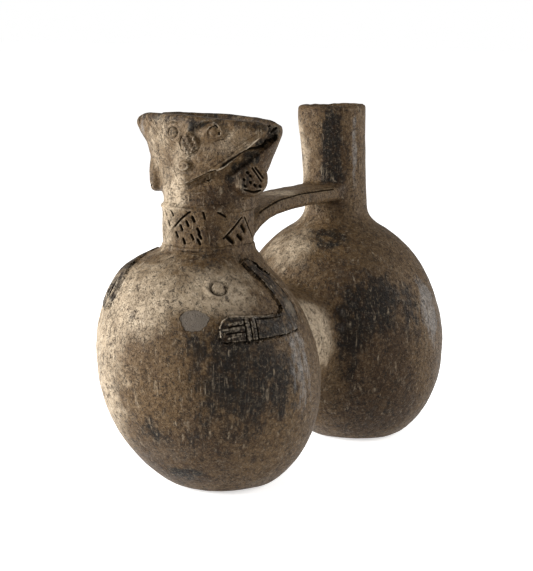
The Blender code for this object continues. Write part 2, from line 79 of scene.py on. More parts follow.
class BottleSizes(bpy.types.PropertyGroup):
    """Sizes of the bottle, in metres."""
    middle_x: FloatProperty(name="Middle", description="X of the line that both chambers stand on",
                            default=-0.00162, unit='LENGTH')
    front_y: FloatProperty(name="Front axis", description="Y of the figure's axis",
                           default=-0.07328, unit='LENGTH')
    rear_y: FloatProperty(name="Rear axis", description="Y of the plain spout's axis",
                          default=0.07092, unit='LENGTH')
    front_radius: FloatProperty(name="Front radius", description="Radius of the figure's chamber",
                                default=0.0600, unit='LENGTH')
    rear_radius: FloatProperty(name="Rear radius", description="Radius of the plain chamber",
                               default=0.0610, unit='LENGTH')
    foot_radius: FloatProperty(name="Foot radius", description="Radius of the flat spot under a chamber",
                               default=0.0242, unit='LENGTH')
    neck_radius: FloatProperty(name="Neck radius", description="Radius of the figure's neck",
                               default=0.0236, unit='LENGTH')
    spout_radius: FloatProperty(name="Spout radius", description="Radius of the plain spout",
                                default=0.0188, unit='LENGTH')
    spout_height: FloatProperty(name="Spout height", description="Height of the plain spout's mouth",
                                default=0.1972, unit='LENGTH')
    lip_height: FloatProperty(name="Lip height", description="Height of the head's lip over the face",
                              default=0.2006, unit='LENGTH')
    lip_half_width: FloatProperty(name="Lip half width", description="Half width of the head at its lip",
                                  default=0.0450, unit='LENGTH')
    strap_width: FloatProperty(name="Strap width", description="Width of the bridge handle",
                               default=0.0270, unit='LENGTH')
    strap_thickness: FloatProperty(name="Strap thickness", description="Thickness of the bridge handle",
                                   default=0.0090, unit='LENGTH')
    wall: FloatProperty(name="Wall", description="Thickness of the clay wall",
                        default=0.0050, unit='LENGTH')
    floor: FloatProperty(name="Floor", description="Thickness of the clay under each chamber",
                         default=0.0070, unit='LENGTH')
    arm_rise: FloatProperty(name="Arm rise", description="How far the arms stand out",
                            default=0.0011, unit='LENGTH')
    plate_rise: FloatProperty(name="Face rise", description="How far the face stands out from the head",
                              default=0.0030, unit='LENGTH')
    unevenness: FloatProperty(name="Unevenness", description="Height of the unevenness left by the hand",
                              default=0.00035, unit='LENGTH')
    # A cell's diagonal stays shorter than the wall, so that no cell holds both skins
    facet: FloatProperty(name="Facet", description="Side of the cells that the mesh is laid in",
                         default=0.00275, unit='LENGTH')


class BottleColours(bpy.types.PropertyGroup):
    """Colours of the fired clay, as sRGB hex values."""
    # Tan also paints light on the sides that face the lamps.
    tan: StringProperty(name="Tan", description="Clay that the smoke hardly reached", default="#95856f")
    # Pale also paints highlights on raised edges and on the arm and finger ridges.
    pale: StringProperty(name="Pale", description="Worn edges and fine scratches", default="#b4a691")
    brown: StringProperty(name="Brown", description="Clay fired brown", default="#4f3d27")
    # Umber also paints the shade under the chin, the jaw and the collar, and darkens the inside of the
    # bottle.
    umber: StringProperty(name="Umber", description="Stained clay in the hollows", default="#2a1b0d")
    # Soot also paints the shade in the hollows, in the stylus marks, under the jaw, under the collar and
    # beside the nose.
    soot: StringProperty(name="Soot", description="Smoke cloud", default="#0b0805")
    # Grey also paints the sheen reflected along the right edges.
    grey: StringProperty(name="Grey", description="Smoked clay where it was burnished", default="#6a645e")
    scar: StringProperty(name="Scar", description="Smooth spot on the chest", default="#5b534a")
    floor: StringProperty(name="Floor", description="Pale studio floor", default="#f6f6f6")


def linear(code):
    """Turn an sRGB hex value to a linear colour."""
    shares = [int(code[i:i + 2], 16) / 255.0 for i in (1, 3, 5)]
    return tuple(c / 12.92 if c <= 0.04045 else ((c + 0.055) / 1.055) ** 2.4 for c in shares) + (1.0,)


# Small sums on arrays

def smooth_step(low, high, value):
    """Rise smoothly from 0 at low to 1 at high."""
    share = np.clip((value - low) / (high - low), 0.0, 1.0)
    return share * share * (3.0 - 2.0 * share)


def smooth_min(a, b, blend):
    """The smaller of two distances, filleted where they cross."""
    overlap = np.maximum(blend - np.abs(a - b), 0.0) / blend
    return np.minimum(a, b) - overlap * overlap * blend / 4.0


def smooth_max(a, b, blend):
    """The larger of two distances, rounded where they cross."""
    return -smooth_min(-a, -b, blend)


def hump(value, middle, reach):
    """1 at the middle, falling smoothly to 0 at the reach on both sides."""
    return 1.0 - smooth_step(0.0, reach, np.abs(value - middle))


def path_distance(points, path):
    """Distance from each point to the nearest place on a path."""
    nearest = np.full(len(points), np.inf)
    for start, end in zip(path[:-1], path[1:]):
        run = end - start
        share = np.clip((points - start) @ run / (run @ run), 0.0, 1.0)
        gap = points - start - share[:, None] * run
        nearest = np.minimum(nearest, np.einsum('ij,ij->i', gap, gap))
    return np.sqrt(nearest)


def within(u, v, corners):
    """Which places (u, v) lie inside a closed outline."""
    inside = np.zeros(len(u), bool)
    for (u0, v0), (u1, v1) in zip(corners, corners[1:] + corners[:1]):
        if v0 == v1:
            continue
        crosses = (v0 > v) != (v1 > v)
        inside ^= crosses & (u < u0 + (u1 - u0) * (v - v0) / (v1 - v0))
    return inside


# What is modelled on the figure. Azimuths are degrees from -Y towards +X about the front
# axis, and heights and face places are millimetres.
LEAN_TOWARDS = np.array((math.cos(math.radians(30.0)), math.sin(math.radians(30.0))))
FRONT_EQUATOR, FRONT_SHOULDER, FRONT_LEAN, HEAD_LEAN = 63.1 * MM, 129.0 * MM, 7.2 * MM, 1.08 * MM
REAR_EQUATOR, REAR_SHOULDER, REAR_LEAN, REAR_LEAN_TOP = 63.4 * MM, 129.2 * MM, 12.2 * MM, 120.5 * MM
SPOUT_LEAN, COLLAR_LOW, COLLAR_HIGH, HEAD_LOW = 2.9 * MM, 129.0 * MM, 151.8 * MM, 153.5 * MM
JAW = ((0.0, 164.2), (6.0, 167.1), (11.2, 169.6), (15.2, 171.6), (17.4, 172.0), (20.8, 174.1), (30.2, 182.2),
       (39.4, 191.3), (44.0, 196.0))
HOLDING_ARM = [(72.0, 124.6), (80.0, 125.2), (88.0, 122.6), (99.3, 115.9), (100.8, 108.8), (101.6, 100.0),
               (98.5, 92.0), (93.4, 88.6), (80.8, 87.4), (66.2, 87.3), (54.0, 86.7), (46.8, 86.4),
               (42.0, 87.2),
               (41.2, 90.0), (41.8, 94.0), (43.6, 97.2), (47.6, 99.1), (57.8, 98.7), (71.1, 98.0),
               (82.6, 98.2),
               (86.6, 100.6), (86.6, 106.5), (83.4, 114.6), (76.0, 121.6)]
RAISED_ARM = [(-38.0, 98.3), (-34.4, 101.3), (-32.2, 105.0), (-31.2, 110.0), (-32.2, 114.2), (-37.0, 117.6),
              (-47.0, 121.4), (-62.0, 125.4), (-80.0, 127.5), (-94.0, 125.0), (-82.0, 118.6), (-68.0, 112.6),
              (-58.0, 106.4), (-50.0, 100.6), (-43.5, 98.0)]
EDGE_RIDGES = [[(83.0, 97.9), (71.1, 97.9), (57.8, 98.8), (48.7, 99.1), (44.0, 97.6), (41.6, 94.0),
                (41.2, 89.6)],
               [(94.5, 120.5), (103.4, 115.0), (105.0, 108.0), (105.4, 100.0), (102.6, 91.0)],
               [(-31.4, 114.2), (-30.4, 110.0), (-31.6, 104.8), (-34.0, 101.0)]]
FINGER_RIDGES = [[(46.6, 95.6), (50.0, 96.2), (54.4, 96.5)], [(43.0, 92.8), (49.0, 93.3), (55.0, 93.5)],
                 [(45.0, 88.6), (48.0, 89.3), (51.4, 89.6)], [(57.2, 98.2), (56.2, 87.2)],
                 [(61.6, 98.0), (60.4, 87.4)],
                 [(-39.6, 113.8), (-38.6, 109.0), (-39.0, 104.6)],
                 [(-44.4, 112.0), (-42.6, 107.4), (-42.6, 103.0)],
                 [(-50.6, 109.4), (-46.4, 104.6)]]
HOLDING_NIPPLE, RAISED_NIPPLE = (46.2, 113.1), (-33.6, 121.4)
SCAR, ELBOW = (28.0, 97.6), (94.5, 99.0)
EYE_LEFT, EYE_RIGHT, MOUTH, NOSE = (-9.6, 191.1), (14.4, 192.0), (-1.0, 174.2), (1.6, 185.6)
EAR_HEIGHT, EAR_RADIUS, EAR_DEPTH = 167.0 * MM, 9.3 * MM, 7.2 * MM


class Bottle:
    """The bottle's form, as signed distances that are negative in the clay."""

    def __init__(self, sizes):
        self.s = sizes
        self.neck = np.array((sizes.middle_x, sizes.front_y))
        self.crown = self.neck + HEAD_LEAN * LEAN_TOWARDS
        self.rear = np.array((sizes.middle_x, sizes.rear_y))
        self.arm_paths = [self.on_chamber_path(outline) for outline in (HOLDING_ARM, RAISED_ARM)]
        on_arm = sizes.arm_rise + 0.1 * MM
        self.ridge_paths = [np.array([self.on_chamber(*place, standing) for place in ridge])
                            for ridges, standing in ((EDGE_RIDGES, 0.4 * MM), (FINGER_RIDGES, on_arm))
                            for ridge in ridges]

    def front_centre(self, z):
        """Middle of the front chamber at each height: it leans one way below and settles into the neck."""
        settle = smooth_step(0.90 * FRONT_SHOULDER, 1.02 * FRONT_SHOULDER, z)
        shift = FRONT_LEAN * (1.0 - z / FRONT_EQUATOR) * (1.0 - settle)
        return self.s.middle_x + shift * LEAN_TOWARDS[0], self.s.front_y + shift * LEAN_TOWARDS[1]

    def rear_centre(self, z):
        """Middle of the rear chamber at each height."""
        shift = REAR_LEAN * np.maximum(1.0 - z / REAR_LEAN_TOP, 0.0) ** 2
        return self.s.middle_x + shift * LEAN_TOWARDS[0], self.s.rear_y + shift * LEAN_TOWARDS[1]

    def egg(self, p, centre, radius, equator, shoulder, neck_radius):
        """Egg of two half ellipsoids, through the foot below and the neck above."""
        x, y = p[:, 0] - centre[0], p[:, 1] - centre[1]
        z = p[:, 2] - equator
        upper = (shoulder - equator) / math.sqrt(1.0 - (neck_radius / radius) ** 2)
        lower = equator / math.sqrt(1.0 - (self.s.foot_radius / radius) ** 2)
        tall = np.where(z > 0.0, upper, lower)
        ring = x * x + y * y
        near = np.sqrt(ring / radius ** 2 + (z / tall) ** 2)
        slope = np.sqrt(ring / radius ** 4 + (z / tall ** 2) ** 2)
        return near * (near - 1.0) / np.maximum(slope, 1e-6)

    def front_egg(self, p):
        """The figure's chamber."""
        return self.egg(p, self.front_centre(p[:, 2]), self.s.front_radius, FRONT_EQUATOR, FRONT_SHOULDER,
                        self.s.neck_radius)

    def rear_egg(self, p):
        """The chamber with the plain spout."""
        return self.egg(p, self.rear_centre(p[:, 2]), self.s.rear_radius, REAR_EQUATOR, REAR_SHOULDER,
                        self.s.spout_radius)

    def neck_rod(self, p, radius, low, high):
        """Upright round rod on the figure's neck."""
        ring = np.hypot(p[:, 0] - self.neck[0], p[:, 1] - self.neck[1]) - radius
        return smooth_max(ring, np.maximum(low - p[:, 2], p[:, 2] - high), 1.0 * MM)

    def lip_z(self, p):
        """Height of the lip: it sinks towards the figure's left and behind."""
        share = np.clip((p[:, 0] - self.crown[0] + 8.0 * MM) / (self.s.lip_half_width + 8.0 * MM), 0.0, 1.2)
        behind = smooth_step(-5.0 * MM, 25.0 * MM, p[:, 1] - self.crown[1])
        return self.s.lip_height - 0.3 * MM - 4.2 * MM * share ** 1.3 - 1.6 * MM * behind

    def head(self, p, inset=0.0):
        """Funnel of the head: round at the neck, a lens with two corners at the lip."""
        share = np.clip((p[:, 2] - HEAD_LOW) / (self.s.lip_height - HEAD_LOW), 0.0, 1.15)
        neck = self.s.neck_radius
        shift = HEAD_LEAN * smooth_step(COLLAR_LOW, HEAD_LOW, p[:, 2])
        x = p[:, 0] - self.neck[0] - shift * LEAN_TOWARDS[0]
        y = p[:, 1] - self.neck[1] - shift * LEAN_TOWARDS[1]
        flare = self.s.lip_half_width - neck
        narrow = (flare + 1.2 * MM) * share ** 0.8
        width = neck + np.where(x > 0.0, (flare + 6.3 * MM) * share, narrow) - inset
        front = neck + (18.2 * MM - neck) * share - inset
        back = neck + (25.5 * MM - neck) * share - inset
        power = 2.0 - 0.60 * share
        deep = np.where(y < 0.0, front, back)
        x, y = np.abs(x), np.abs(y)
        ring = ((x / width) ** power + (y / deep) ** power) ** (1.0 / power)
        slope = np.hypot((x / width) ** (power - 1.0) / width, (y / deep) ** (power - 1.0) / deep)
        slope = slope * np.maximum(ring, 1e-6) ** (1.0 - power)
        funnel = (ring - 1.0) / np.maximum(slope, 1.0 / (3.0 * width))
        return smooth_max(funnel, x - width + 1.6 * MM * share, 6.0 * MM * share + 0.1 * MM)

    def below_jaw(self, p):
        """How far a point lies below the slanting edge of the face."""
        across = np.abs(p[:, 0] - self.crown[0]) / MM
        edge = np.interp(across, *zip(*JAW)) * MM
        return 0.78 * (edge - p[:, 2])

    def face(self, p):
        """Triangular plate of the face, which overhangs the jaw."""
        faded = smooth_step(4.0 * MM, -12.0 * MM, p[:, 0] - self.crown[0])
        faded *= smooth_step(0.190, 0.178, p[:, 2])
        plate = self.head(p) - self.s.plate_rise * (1.0 - 0.75 * faded)
        front = p[:, 1] - (self.crown[1] - 4.0 * MM)
        return smooth_max(smooth_max(plate, self.below_jaw(p), 0.9 * MM), front, 4.0 * MM)

    def ears(self, p):
        """Two thick discs that look outwards and a little forwards."""
        nearest = np.full(len(p), 1.0)
        for side in (-1.0, 1.0):
            middle, facing = self.ear_frame(side)[:2]
            gap = p - middle
            along = gap @ facing
            ring = np.sqrt(np.maximum(np.einsum('ij,ij->i', gap, gap) - along ** 2, 0.0))
            disc = smooth_max(ring - EAR_RADIUS, np.abs(along + 0.25 * EAR_DEPTH) - EAR_DEPTH, 3.6 * MM)
            nearest = np.minimum(nearest, disc)
        return nearest

    def ear_frame(self, side):
        """Middle of an ear's face, its outward direction and the direction across it."""
        facing = np.array((side * 0.80, -0.60, 0.0))
        reach = self.s.neck_radius + 4.2 * MM
        middle = np.array((self.crown[0] + side * reach, self.crown[1] - 5.4 * MM, EAR_HEIGHT))
        return middle, facing, np.array((-facing[1], facing[0], 0.0))

    def strap_height(self, y):
        """Height of the strap's middle: it climbs steeply from the nape and levels out."""
        away = np.clip((27.0 * MM - (y - 0.5 * (self.s.front_y + self.s.rear_y))) / (78.0 * MM), 0.0, 1.4)
        return 147.1 * MM - 3.7 * MM * away ** 2 - 12.4 * MM * away ** 6

    def strap(self, p):
        """The bridge handle, a flat strap with rounded edges."""
        y = p[:, 1]
        slope = (self.strap_height(y + 0.1 * MM) - self.strap_height(y - 0.1 * MM)) / (0.2 * MM)
        rise = (p[:, 2] - self.strap_height(y)) / np.sqrt(1.0 + slope ** 2)
        side = np.abs(p[:, 0] - self.s.middle_x) - self.s.strap_width / 2.0
        flat = np.abs(rise) - self.s.strap_thickness / 2.0
        ends = np.maximum(self.s.front_y + 12.0 * MM - y, y - self.s.rear_y + 8.0 * MM)
        return np.maximum(smooth_max(side, flat, 4.5 * MM), ends)

    def spout(self, p, inset=0.0):
        """The plain round spout, flaring a little at its mouth."""
        flare = 1.4 * MM * smooth_step(0.145, self.s.spout_height, p[:, 2])
        radius = self.s.spout_radius - 0.4 * MM + flare - inset
        shift = -SPOUT_LEAN * smooth_step(REAR_SHOULDER, self.s.spout_height, p[:, 2])
        return np.hypot(p[:, 0] - self.rear[0] - shift * LEAN_TOWARDS[0],
                        p[:, 1] - self.rear[1] - shift * LEAN_TOWARDS[1]) - radius

    def tube(self, p, inset=0.0):
        """Oval tube between the chambers."""
        ring = np.hypot(p[:, 0] - self.s.middle_x, (p[:, 2] - 63.0 * MM) / 1.163) - 28.9 * MM + inset
        return np.maximum(ring, np.abs(p[:, 1]) - 68.0 * MM)

    def outside(self, p):
        """The outer skin, before relief."""
        z = p[:, 2]
        waist = MM * (0.9 * hump(z, 156.5 * MM, 5.0 * MM) - 0.7 * hump(z, 151.4 * MM, 1.9 * MM)
                      - 0.5 * hump(z, 130.4 * MM, 1.9 * MM))
        figure = smooth_min(self.front_egg(p), self.neck_rod(p, self.s.neck_radius, 0.100, 0.160), 4.0 * MM)
        collar = self.neck_rod(p, self.s.neck_radius + 0.6 * MM, COLLAR_LOW + 1.0 * MM, COLLAR_HIGH)
        figure = smooth_min(figure, collar, 0.8 * MM)
        head = smooth_min(self.head(p), self.face(p), 0.7 * MM)
        corner = smooth_step(27.0 * MM, 43.0 * MM, np.abs(p[:, 0] - self.crown[0]))
        ends = np.maximum(HEAD_LOW - 3.0 * MM - z, z - self.lip_z(p))
        head = smooth_max(head, ends, (2.4 + 5.4 * corner) * MM)
        figure = smooth_min(figure, head, 3.5 * MM) + waist
        figure = smooth_min(figure, self.ears(p), 1.6 * MM)
        spout = smooth_max(self.spout(p), np.maximum(0.100 - z, z - self.rim_z(p)), 2.2 * MM)
        plain = smooth_min(self.rear_egg(p), spout, 9.0 * MM)
        bottle = smooth_min(smooth_min(figure, self.tube(p), 4.5 * MM), plain, 4.5 * MM)
        bottle = smooth_min(bottle, self.strap(p), 5.0 * MM)
        return smooth_max(bottle, -z, 3.0 * MM)

    def rim_z(self, p):
        """Height of the plain spout's rim, which is not quite level."""
        return self.s.spout_height + 0.02 * (p[:, 0] - self.rear[0])

    def inside(self, p):
        """The hollow, open at both mouths."""
        z = p[:, 2]
        wall = self.s.wall
        throat = self.neck_rod(p, self.s.neck_radius - wall, 0.100, 0.158)
        figure = smooth_min(self.front_egg(p) + wall, throat, 9.0 * MM)
        figure = smooth_min(figure, np.maximum(self.head(p, wall), 0.150 - z), 4.0 * MM)
        plain = smooth_min(self.rear_egg(p) + wall, np.maximum(self.spout(p, wall), 0.100 - z), 9.0 * MM)
        hollow = smooth_min(smooth_min(figure, self.tube(p, wall), 9.0 * MM), plain, 9.0 * MM)
        return smooth_max(hollow, self.s.floor - z, 4.0 * MM)

    def outer_skin(self, p):
        """Which points lie nearer to the outside than to the hollow."""
        return self.outside(p) > -0.6 * self.s.wall

    def plain_clay(self, p):
        """The wall of clay between outside and hollow, before relief."""
        return smooth_max(self.outside(p), -self.inside(p), 2.2 * MM)

    def clay(self, p):
        """The wall of clay with its relief."""
        return smooth_max(self.outside(p) - self.relief(p), -self.inside(p), 2.2 * MM)

    def azimuth(self, p):
        """Degrees about the figure's axis, from -Y towards +X."""
        x, y = self.front_centre(p[:, 2])
        return np.degrees(np.arctan2(p[:, 0] - x, y - p[:, 1]))

    def on_chamber(self, azimuth, height, standing=0.0):
        """Point on the front chamber at an azimuth in degrees and a height in millimetres."""
        z = height * MM
        x, y = self.front_centre(np.float64(z))
        narrowing = self.s.neck_radius / self.s.front_radius
        upper = (FRONT_SHOULDER - FRONT_EQUATOR) / math.sqrt(1.0 - narrowing ** 2)
        lower = FRONT_EQUATOR / math.sqrt(1.0 - (self.s.foot_radius / self.s.front_radius) ** 2)
        share = (z - FRONT_EQUATOR) / (upper if z > FRONT_EQUATOR else lower)
        reach = self.s.front_radius * math.sqrt(max(1.0 - share * share, 0.0)) + standing
        turn = math.radians(azimuth)
        return np.array((x + reach * math.sin(turn), y - reach * math.cos(turn), z))

    def on_chamber_path(self, corners):
        """Closed path on the front chamber through the corners of an outline."""
        path = []
        for (a0, h0), (a1, h1) in zip(corners, corners[1:] + corners[:1]):
            for share in (0.0, 0.5):
                path.append(self.on_chamber(a0 + (a1 - a0) * share, h0 + (h1 - h0) * share))
        path.append(path[0])
        return np.array(path)

    def relief(self, p):
        """How far the modelled clay stands out from the plain form."""
        height = np.zeros(len(p))
        upper_front = (p[:, 2] > 75.0 * MM) & (p[:, 2] < 129.0 * MM) & (p[:, 1] < self.s.front_y + 35.0 * MM)
        if upper_front.any():
            height[upper_front] = self.chamber_relief(p[upper_front])
        face = (p[:, 2] > 155.0 * MM) & (p[:, 1] < self.crown[1])
        if face.any():
            height[face] = self.face_relief(p[face])
        return height

    def arm_depth(self, p, outline, path):
        """Distance inside an arm's outline, negative outside it."""
        distance = path_distance(p, path)
        return np.where(within(self.azimuth(p), p[:, 2] / MM, outline), distance, -distance)

    def ridge_distance(self, p):
        """Distance to the nearest thin ridge on the arms and hands."""
        return np.min([path_distance(p, path) for path in self.ridge_paths], axis=0)

    def chamber_relief(self, p):
        """Arms, nipples and the scar on the figure's chamber."""
        height = np.zeros(len(p))
        for outline, path in zip((HOLDING_ARM, RAISED_ARM), self.arm_paths):
            depth = self.arm_depth(p, outline, path)
            height += self.s.arm_rise * smooth_step(-0.4 * MM, 0.6 * MM, depth)
            height -= 0.35 * MM * hump(depth, -0.5 * MM, 0.7 * MM)
        height += 0.65 * MM * (1.0 - smooth_step(0.15 * MM, 0.95 * MM, self.ridge_distance(p)))
        reach = np.linalg.norm(p - self.on_chamber(*HOLDING_NIPPLE), axis=1)
        height += 0.75 * MM * (1.0 - smooth_step(2.4 * MM, 3.4 * MM, reach))
        height -= 0.60 * MM * hump(reach, 4.1 * MM, 1.7 * MM)
        height += 0.70 * MM * hump(reach, 6.3 * MM, 1.8 * MM)
        reach = np.linalg.norm((p - self.on_chamber(*RAISED_NIPPLE)) * (0.8, 0.8, 1.5), axis=1)
        height += 0.50 * MM * hump(reach, 3.4 * MM, 1.4 * MM)
        height -= 0.30 * MM * (1.0 - smooth_step(0.86, 1.02, self.scar_reach(p)))
        return height

    def scar_reach(self, p):
        """Distance from the middle of the ragged scar, which is 1 at its edge."""
        gap = p - self.on_chamber(*SCAR)
        turn = np.arctan2(gap[:, 2], gap[:, 0])
        ragged = 1.0 + 0.05 * np.sin(3.0 * turn + 0.6) + 0.04 * np.sin(5.0 * turn)
        ragged += 0.03 * np.sin(11.0 * turn)
        return np.hypot(np.hypot(gap[:, 0], gap[:, 1]) / 7.8, gap[:, 2] / 5.8) / ragged / MM

    def face_relief(self, p):
        """Eyes, broken nose, mouth and brow, and the hollows behind the jaw."""
        x, z = (p[:, 0] - self.crown[0]) / MM, p[:, 2] / MM
        height = np.zeros(len(p))
        reach = np.hypot((x - EYE_LEFT[0]) / 1.15, z - EYE_LEFT[1])
        height += 0.55 * (1.0 - smooth_step(1.4, 2.3, reach)) - 0.40 * hump(reach, 2.8, 0.9)
        height += 0.45 * hump(reach, 4.1, 1.4) * (0.6 + 0.4 * smooth_step(-4.0, 2.0, z - EYE_LEFT[1]))
        u = (x - EYE_RIGHT[0]) * 0.99 + (z - EYE_RIGHT[1]) * 0.14
        v = (z - EYE_RIGHT[1]) * 0.99 - (x - EYE_RIGHT[0]) * 0.14
        lid = np.hypot(u / 7.2, v / 4.6)
        height += 1.1 * (1.0 - smooth_step(0.45, 1.05, lid)) - 0.45 * hump(lid, 1.22, 0.26)
        pupil = np.hypot(u - 0.6, v * 1.15)
        height += 0.5 * (1.0 - smooth_step(1.3, 2.3, pupil)) - 0.35 * hump(pupil, 2.8, 0.8)
        ridge_x = NOSE[0] - 1.6 + 3.2 * smooth_step(189.0, 198.0, z)
        ridge = hump(x, ridge_x, 3.4) * smooth_step(184.0, 188.0, z) * (1.0 - smooth_step(195.0, 198.5, z))
        height += 1.7 * ridge
        broken = np.hypot((x - NOSE[0]) / 5.0, (z - NOSE[1]) / 5.4)
        rough = 0.22 * np.sin(1.7 * x + 0.9 * z) + 0.20 * np.sin(2.9 * x - 1.3 * z + 1.0)
        rough += 0.15 * np.sin(4.6 * z + x)
        stump = (1.0 - smooth_step(0.75, 1.15, broken)) * (1.3 + 1.6 * rough)
        height += stump - 0.45 * hump(broken, 1.15, 0.25)
        brow = np.hypot(x - 11.6, (z - 188.3) * 0.92)
        height += 0.5 * hump(brow, 9.0, 1.5) * smooth_step(190.0, 194.0, z)
        height -= 0.4 * hump(brow, 7.3, 1.2) * smooth_step(188.0, 193.0,
                                                           z) * (1.0 - smooth_step(14.0, 18.0, x))
        lips = np.hypot((x - MOUTH[0]) / 4.5, (z - MOUTH[1]) / 3.0)
        height += 2.1 * (1.0 - smooth_step(0.75, 1.10, lips)) - 0.45 * hump(lips, 1.3, 0.3)
        parted = 1.0 - smooth_step(2.2, 3.2, np.abs(x - MOUTH[0]))
        slit = hump(z - MOUTH[1] - 0.12 * (x - MOUTH[0]), 0.1, 0.7) * parted
        height -= 0.45 * slit
        chin = np.hypot((x + 2.0) / 7.5, (z - 166.6) / 3.6)
        height += 1.4 * (1.0 - smooth_step(0.3, 1.15, chin))
        below = self.below_jaw(p) / MM
        recess = hump(below, 2.4, 3.4) * smooth_step(16.0, 23.0, x) * (1.0 - smooth_step(39.0, 43.0, x))
        height -= 2.4 * recess
        height -= 0.9 * hump(below, 1.2, 1.6) * smooth_step(-3.0, 2.0, x) * (1.0 - smooth_step(14.0, 17.0, x))
        return height * MM


# Laying a mesh over the form

def surface_net(field, low, high, cell):
    """Quads over the zero surface of a field, one point in each cell that the surface crosses."""
    axes = [np.arange(a, b + cell, cell) for a, b in zip(low, high)]
    shape = tuple(len(axis) for axis in axes)
    grid = np.stack([g.ravel() for g in np.meshgrid(*axes, indexing='ij')], axis=1)
    value = np.concatenate([field(part) for part in np.array_split(grid, 8)]).reshape(shape)
    clay = value < 0.0
    corners = [(i, j, k) for i in (0, 1) for j in (0, 1) for k in (0, 1)]
    filled = sum(clay[i:shape[0] - 1 + i, j:shape[1] - 1 + j, k:shape[2] - 1 + k].astype(int)
                 for i, j, k in corners)
    crossed = (filled > 0) & (filled < 8)
    index = np.full(crossed.shape, -1)
    index[crossed] = np.arange(crossed.sum())
    cells = np.argwhere(crossed)
    total, count = np.zeros((len(cells), 3)), np.zeros(len(cells))
    for corner in corners:
        for axis in range(3):
            if corner[axis]:
                continue
            other = np.array(corner)
            other[axis] = 1
            here, there = value[tuple((cells + corner).T)], value[tuple((cells + other).T)]
            cut = (here < 0.0) != (there < 0.0)
            place = np.tile(np.array(corner, float), (len(cells), 1))
            place[:, axis] = np.where(cut, here / np.where(cut, here - there, 1.0), 0.0)
            total[cut] += place[cut]
            count[cut] += 1
    points = (cells + total / count[:, None]) * cell + np.array([axis[0] for axis in axes])
    quads = []
    stay = np.zeros(3, int)
    for axis in range(3):
        inner = [slice(1, n - 1) for n in shape]
        inner[axis] = slice(0, shape[axis] - 1)
        outer = list(inner)
        outer[axis] = slice(1, shape[axis])
        here, there = clay[tuple(inner)], clay[tuple(outer)]
        first, second = np.eye(3, dtype=int)[(axis + 1) % 3], np.eye(3, dtype=int)[(axis + 2) % 3]
        start = np.ones(3, int)
        start[axis] = 0
        for turned, edge in ((False, here & ~there), (True, ~here & there)):
            at = np.argwhere(edge) + start
            ring = [index[tuple((at - step).T)] for step in (first + second, second, stay, first)]
            quad = np.stack(ring, axis=1)
            quads.append(quad[:, ::-1] if turned else quad)
    return points, np.concatenate(quads)


def slope_of(field, p, step=0.1 * MM):
    """Gradient of a field at each point."""
    return np.stack([(field(p + d) - field(p - d)) / (2.0 * step) for d in np.eye(3) * step], axis=1)


def settle(field, p, rounds=2, most=1.5 * MM):
    """Move points along the gradient onto the zero surface."""
    for _round in range(rounds):
        slope = slope_of(field, p)
        move = -(field(p) / np.maximum(np.einsum('ij,ij->i', slope, slope), 0.1))[:, None] * slope
        length = np.linalg.norm(move, axis=1, keepdims=True)
        p = p + move * np.minimum(1.0, most / np.maximum(length, 1e-12))
    return p


def split_long_edges(points, faces, target):
    """Halve every edge that is longer than the target length at its middle."""
    ends = np.stack([faces, np.roll(faces, -1, axis=1)], axis=2).reshape(-1, 2)
    ends.sort(axis=1)
    keys, first, index = np.unique(ends[:, 0] * len(points) + ends[:, 1], return_index=True,
                                   return_inverse=True)
    pairs = points[ends[first]]
    middles = pairs.mean(axis=1)
    long = np.linalg.norm(pairs[:, 0] - pairs[:, 1], axis=1) > target(middles)
    fresh = np.full(len(keys), -1)
    fresh[long] = len(points) + np.arange(long.sum())
    cut = fresh[index].reshape(-1, 3)
    count = (cut >= 0).sum(axis=1)
    made = [faces[count == 0]]

    def turned(chosen, shift):
        order = (shift[:, None] + np.arange(3)) % 3
        return np.take_along_axis(faces[chosen], order, 1).T, np.take_along_axis(cut[chosen], order, 1).T

    one = count == 1
    (a, b, c), (m, _n, _o) = turned(one, np.argmax(cut[one] >= 0, axis=1))
    made += [np.stack(f, axis=1) for f in ((a, m, c), (m, b, c))]
    two = count == 2
    (a, b, c), (m, n, _o) = turned(two, (np.argmin(cut[two] >= 0, axis=1) + 1) % 3)
    made += [np.stack(f, axis=1) for f in ((m, b, n), (a, m, n), (a, n, c))]
    three = count == 3
    a, b, c = faces[three].T
    m, n, o = cut[three].T
    made += [np.stack(f, axis=1) for f in ((a, m, o), (m, b, n), (o, n, c), (m, n, o))]
    return np.concatenate([points, middles[long]]), np.concatenate(made)


def relax(points, faces, share=0.5):
    """Move each point part of the way to the middle of its neighbours."""
    total, count = np.zeros_like(points), np.zeros(len(points))
    for shift in (1, 2):
        other = np.roll(faces, -shift, axis=1).ravel()
        for axis in range(3):
            total[:, axis] += np.bincount(faces.ravel(), points[other, axis], len(points))
        count += np.bincount(faces.ravel(), minlength=len(points))
    return points + share * (total / count[:, None] - points)


# Stylus marks

def chamber_strokes(bottle, strokes):
    """Strokes on the front chamber, given as (azimuth, height) places."""
    return [[bottle.on_chamber(a, h, bottle.s.arm_rise) for a, h in stroke] for stroke in strokes]


def collar_strokes(bottle, strokes):
    """Strokes on the collar, given as (azimuth, height) places."""
    reach = bottle.s.neck_radius + 0.6 * MM
    made = []
    for stroke in strokes:
        line = []
        for azimuth, height in stroke:
            turn = math.radians(azimuth)
            line.append(np.array((bottle.neck[0] + reach * math.sin(turn),
                                  bottle.neck[1] - reach * math.cos(turn),
                                  height * MM)))
        made.append(line)
    return made


def face_strokes(bottle, strokes):
    """Strokes on the face, given as (across, height) places."""
    made = []
    for stroke in strokes:
        line = []
        for across, height in stroke:
            depth = 26.0 - 0.22 * max(height - 170.0, 0.0) - 0.010 * across * across
            line.append(np.array((bottle.crown[0] + across * MM, bottle.crown[1] - depth * MM, height * MM)))
        made.append(line)
    return made


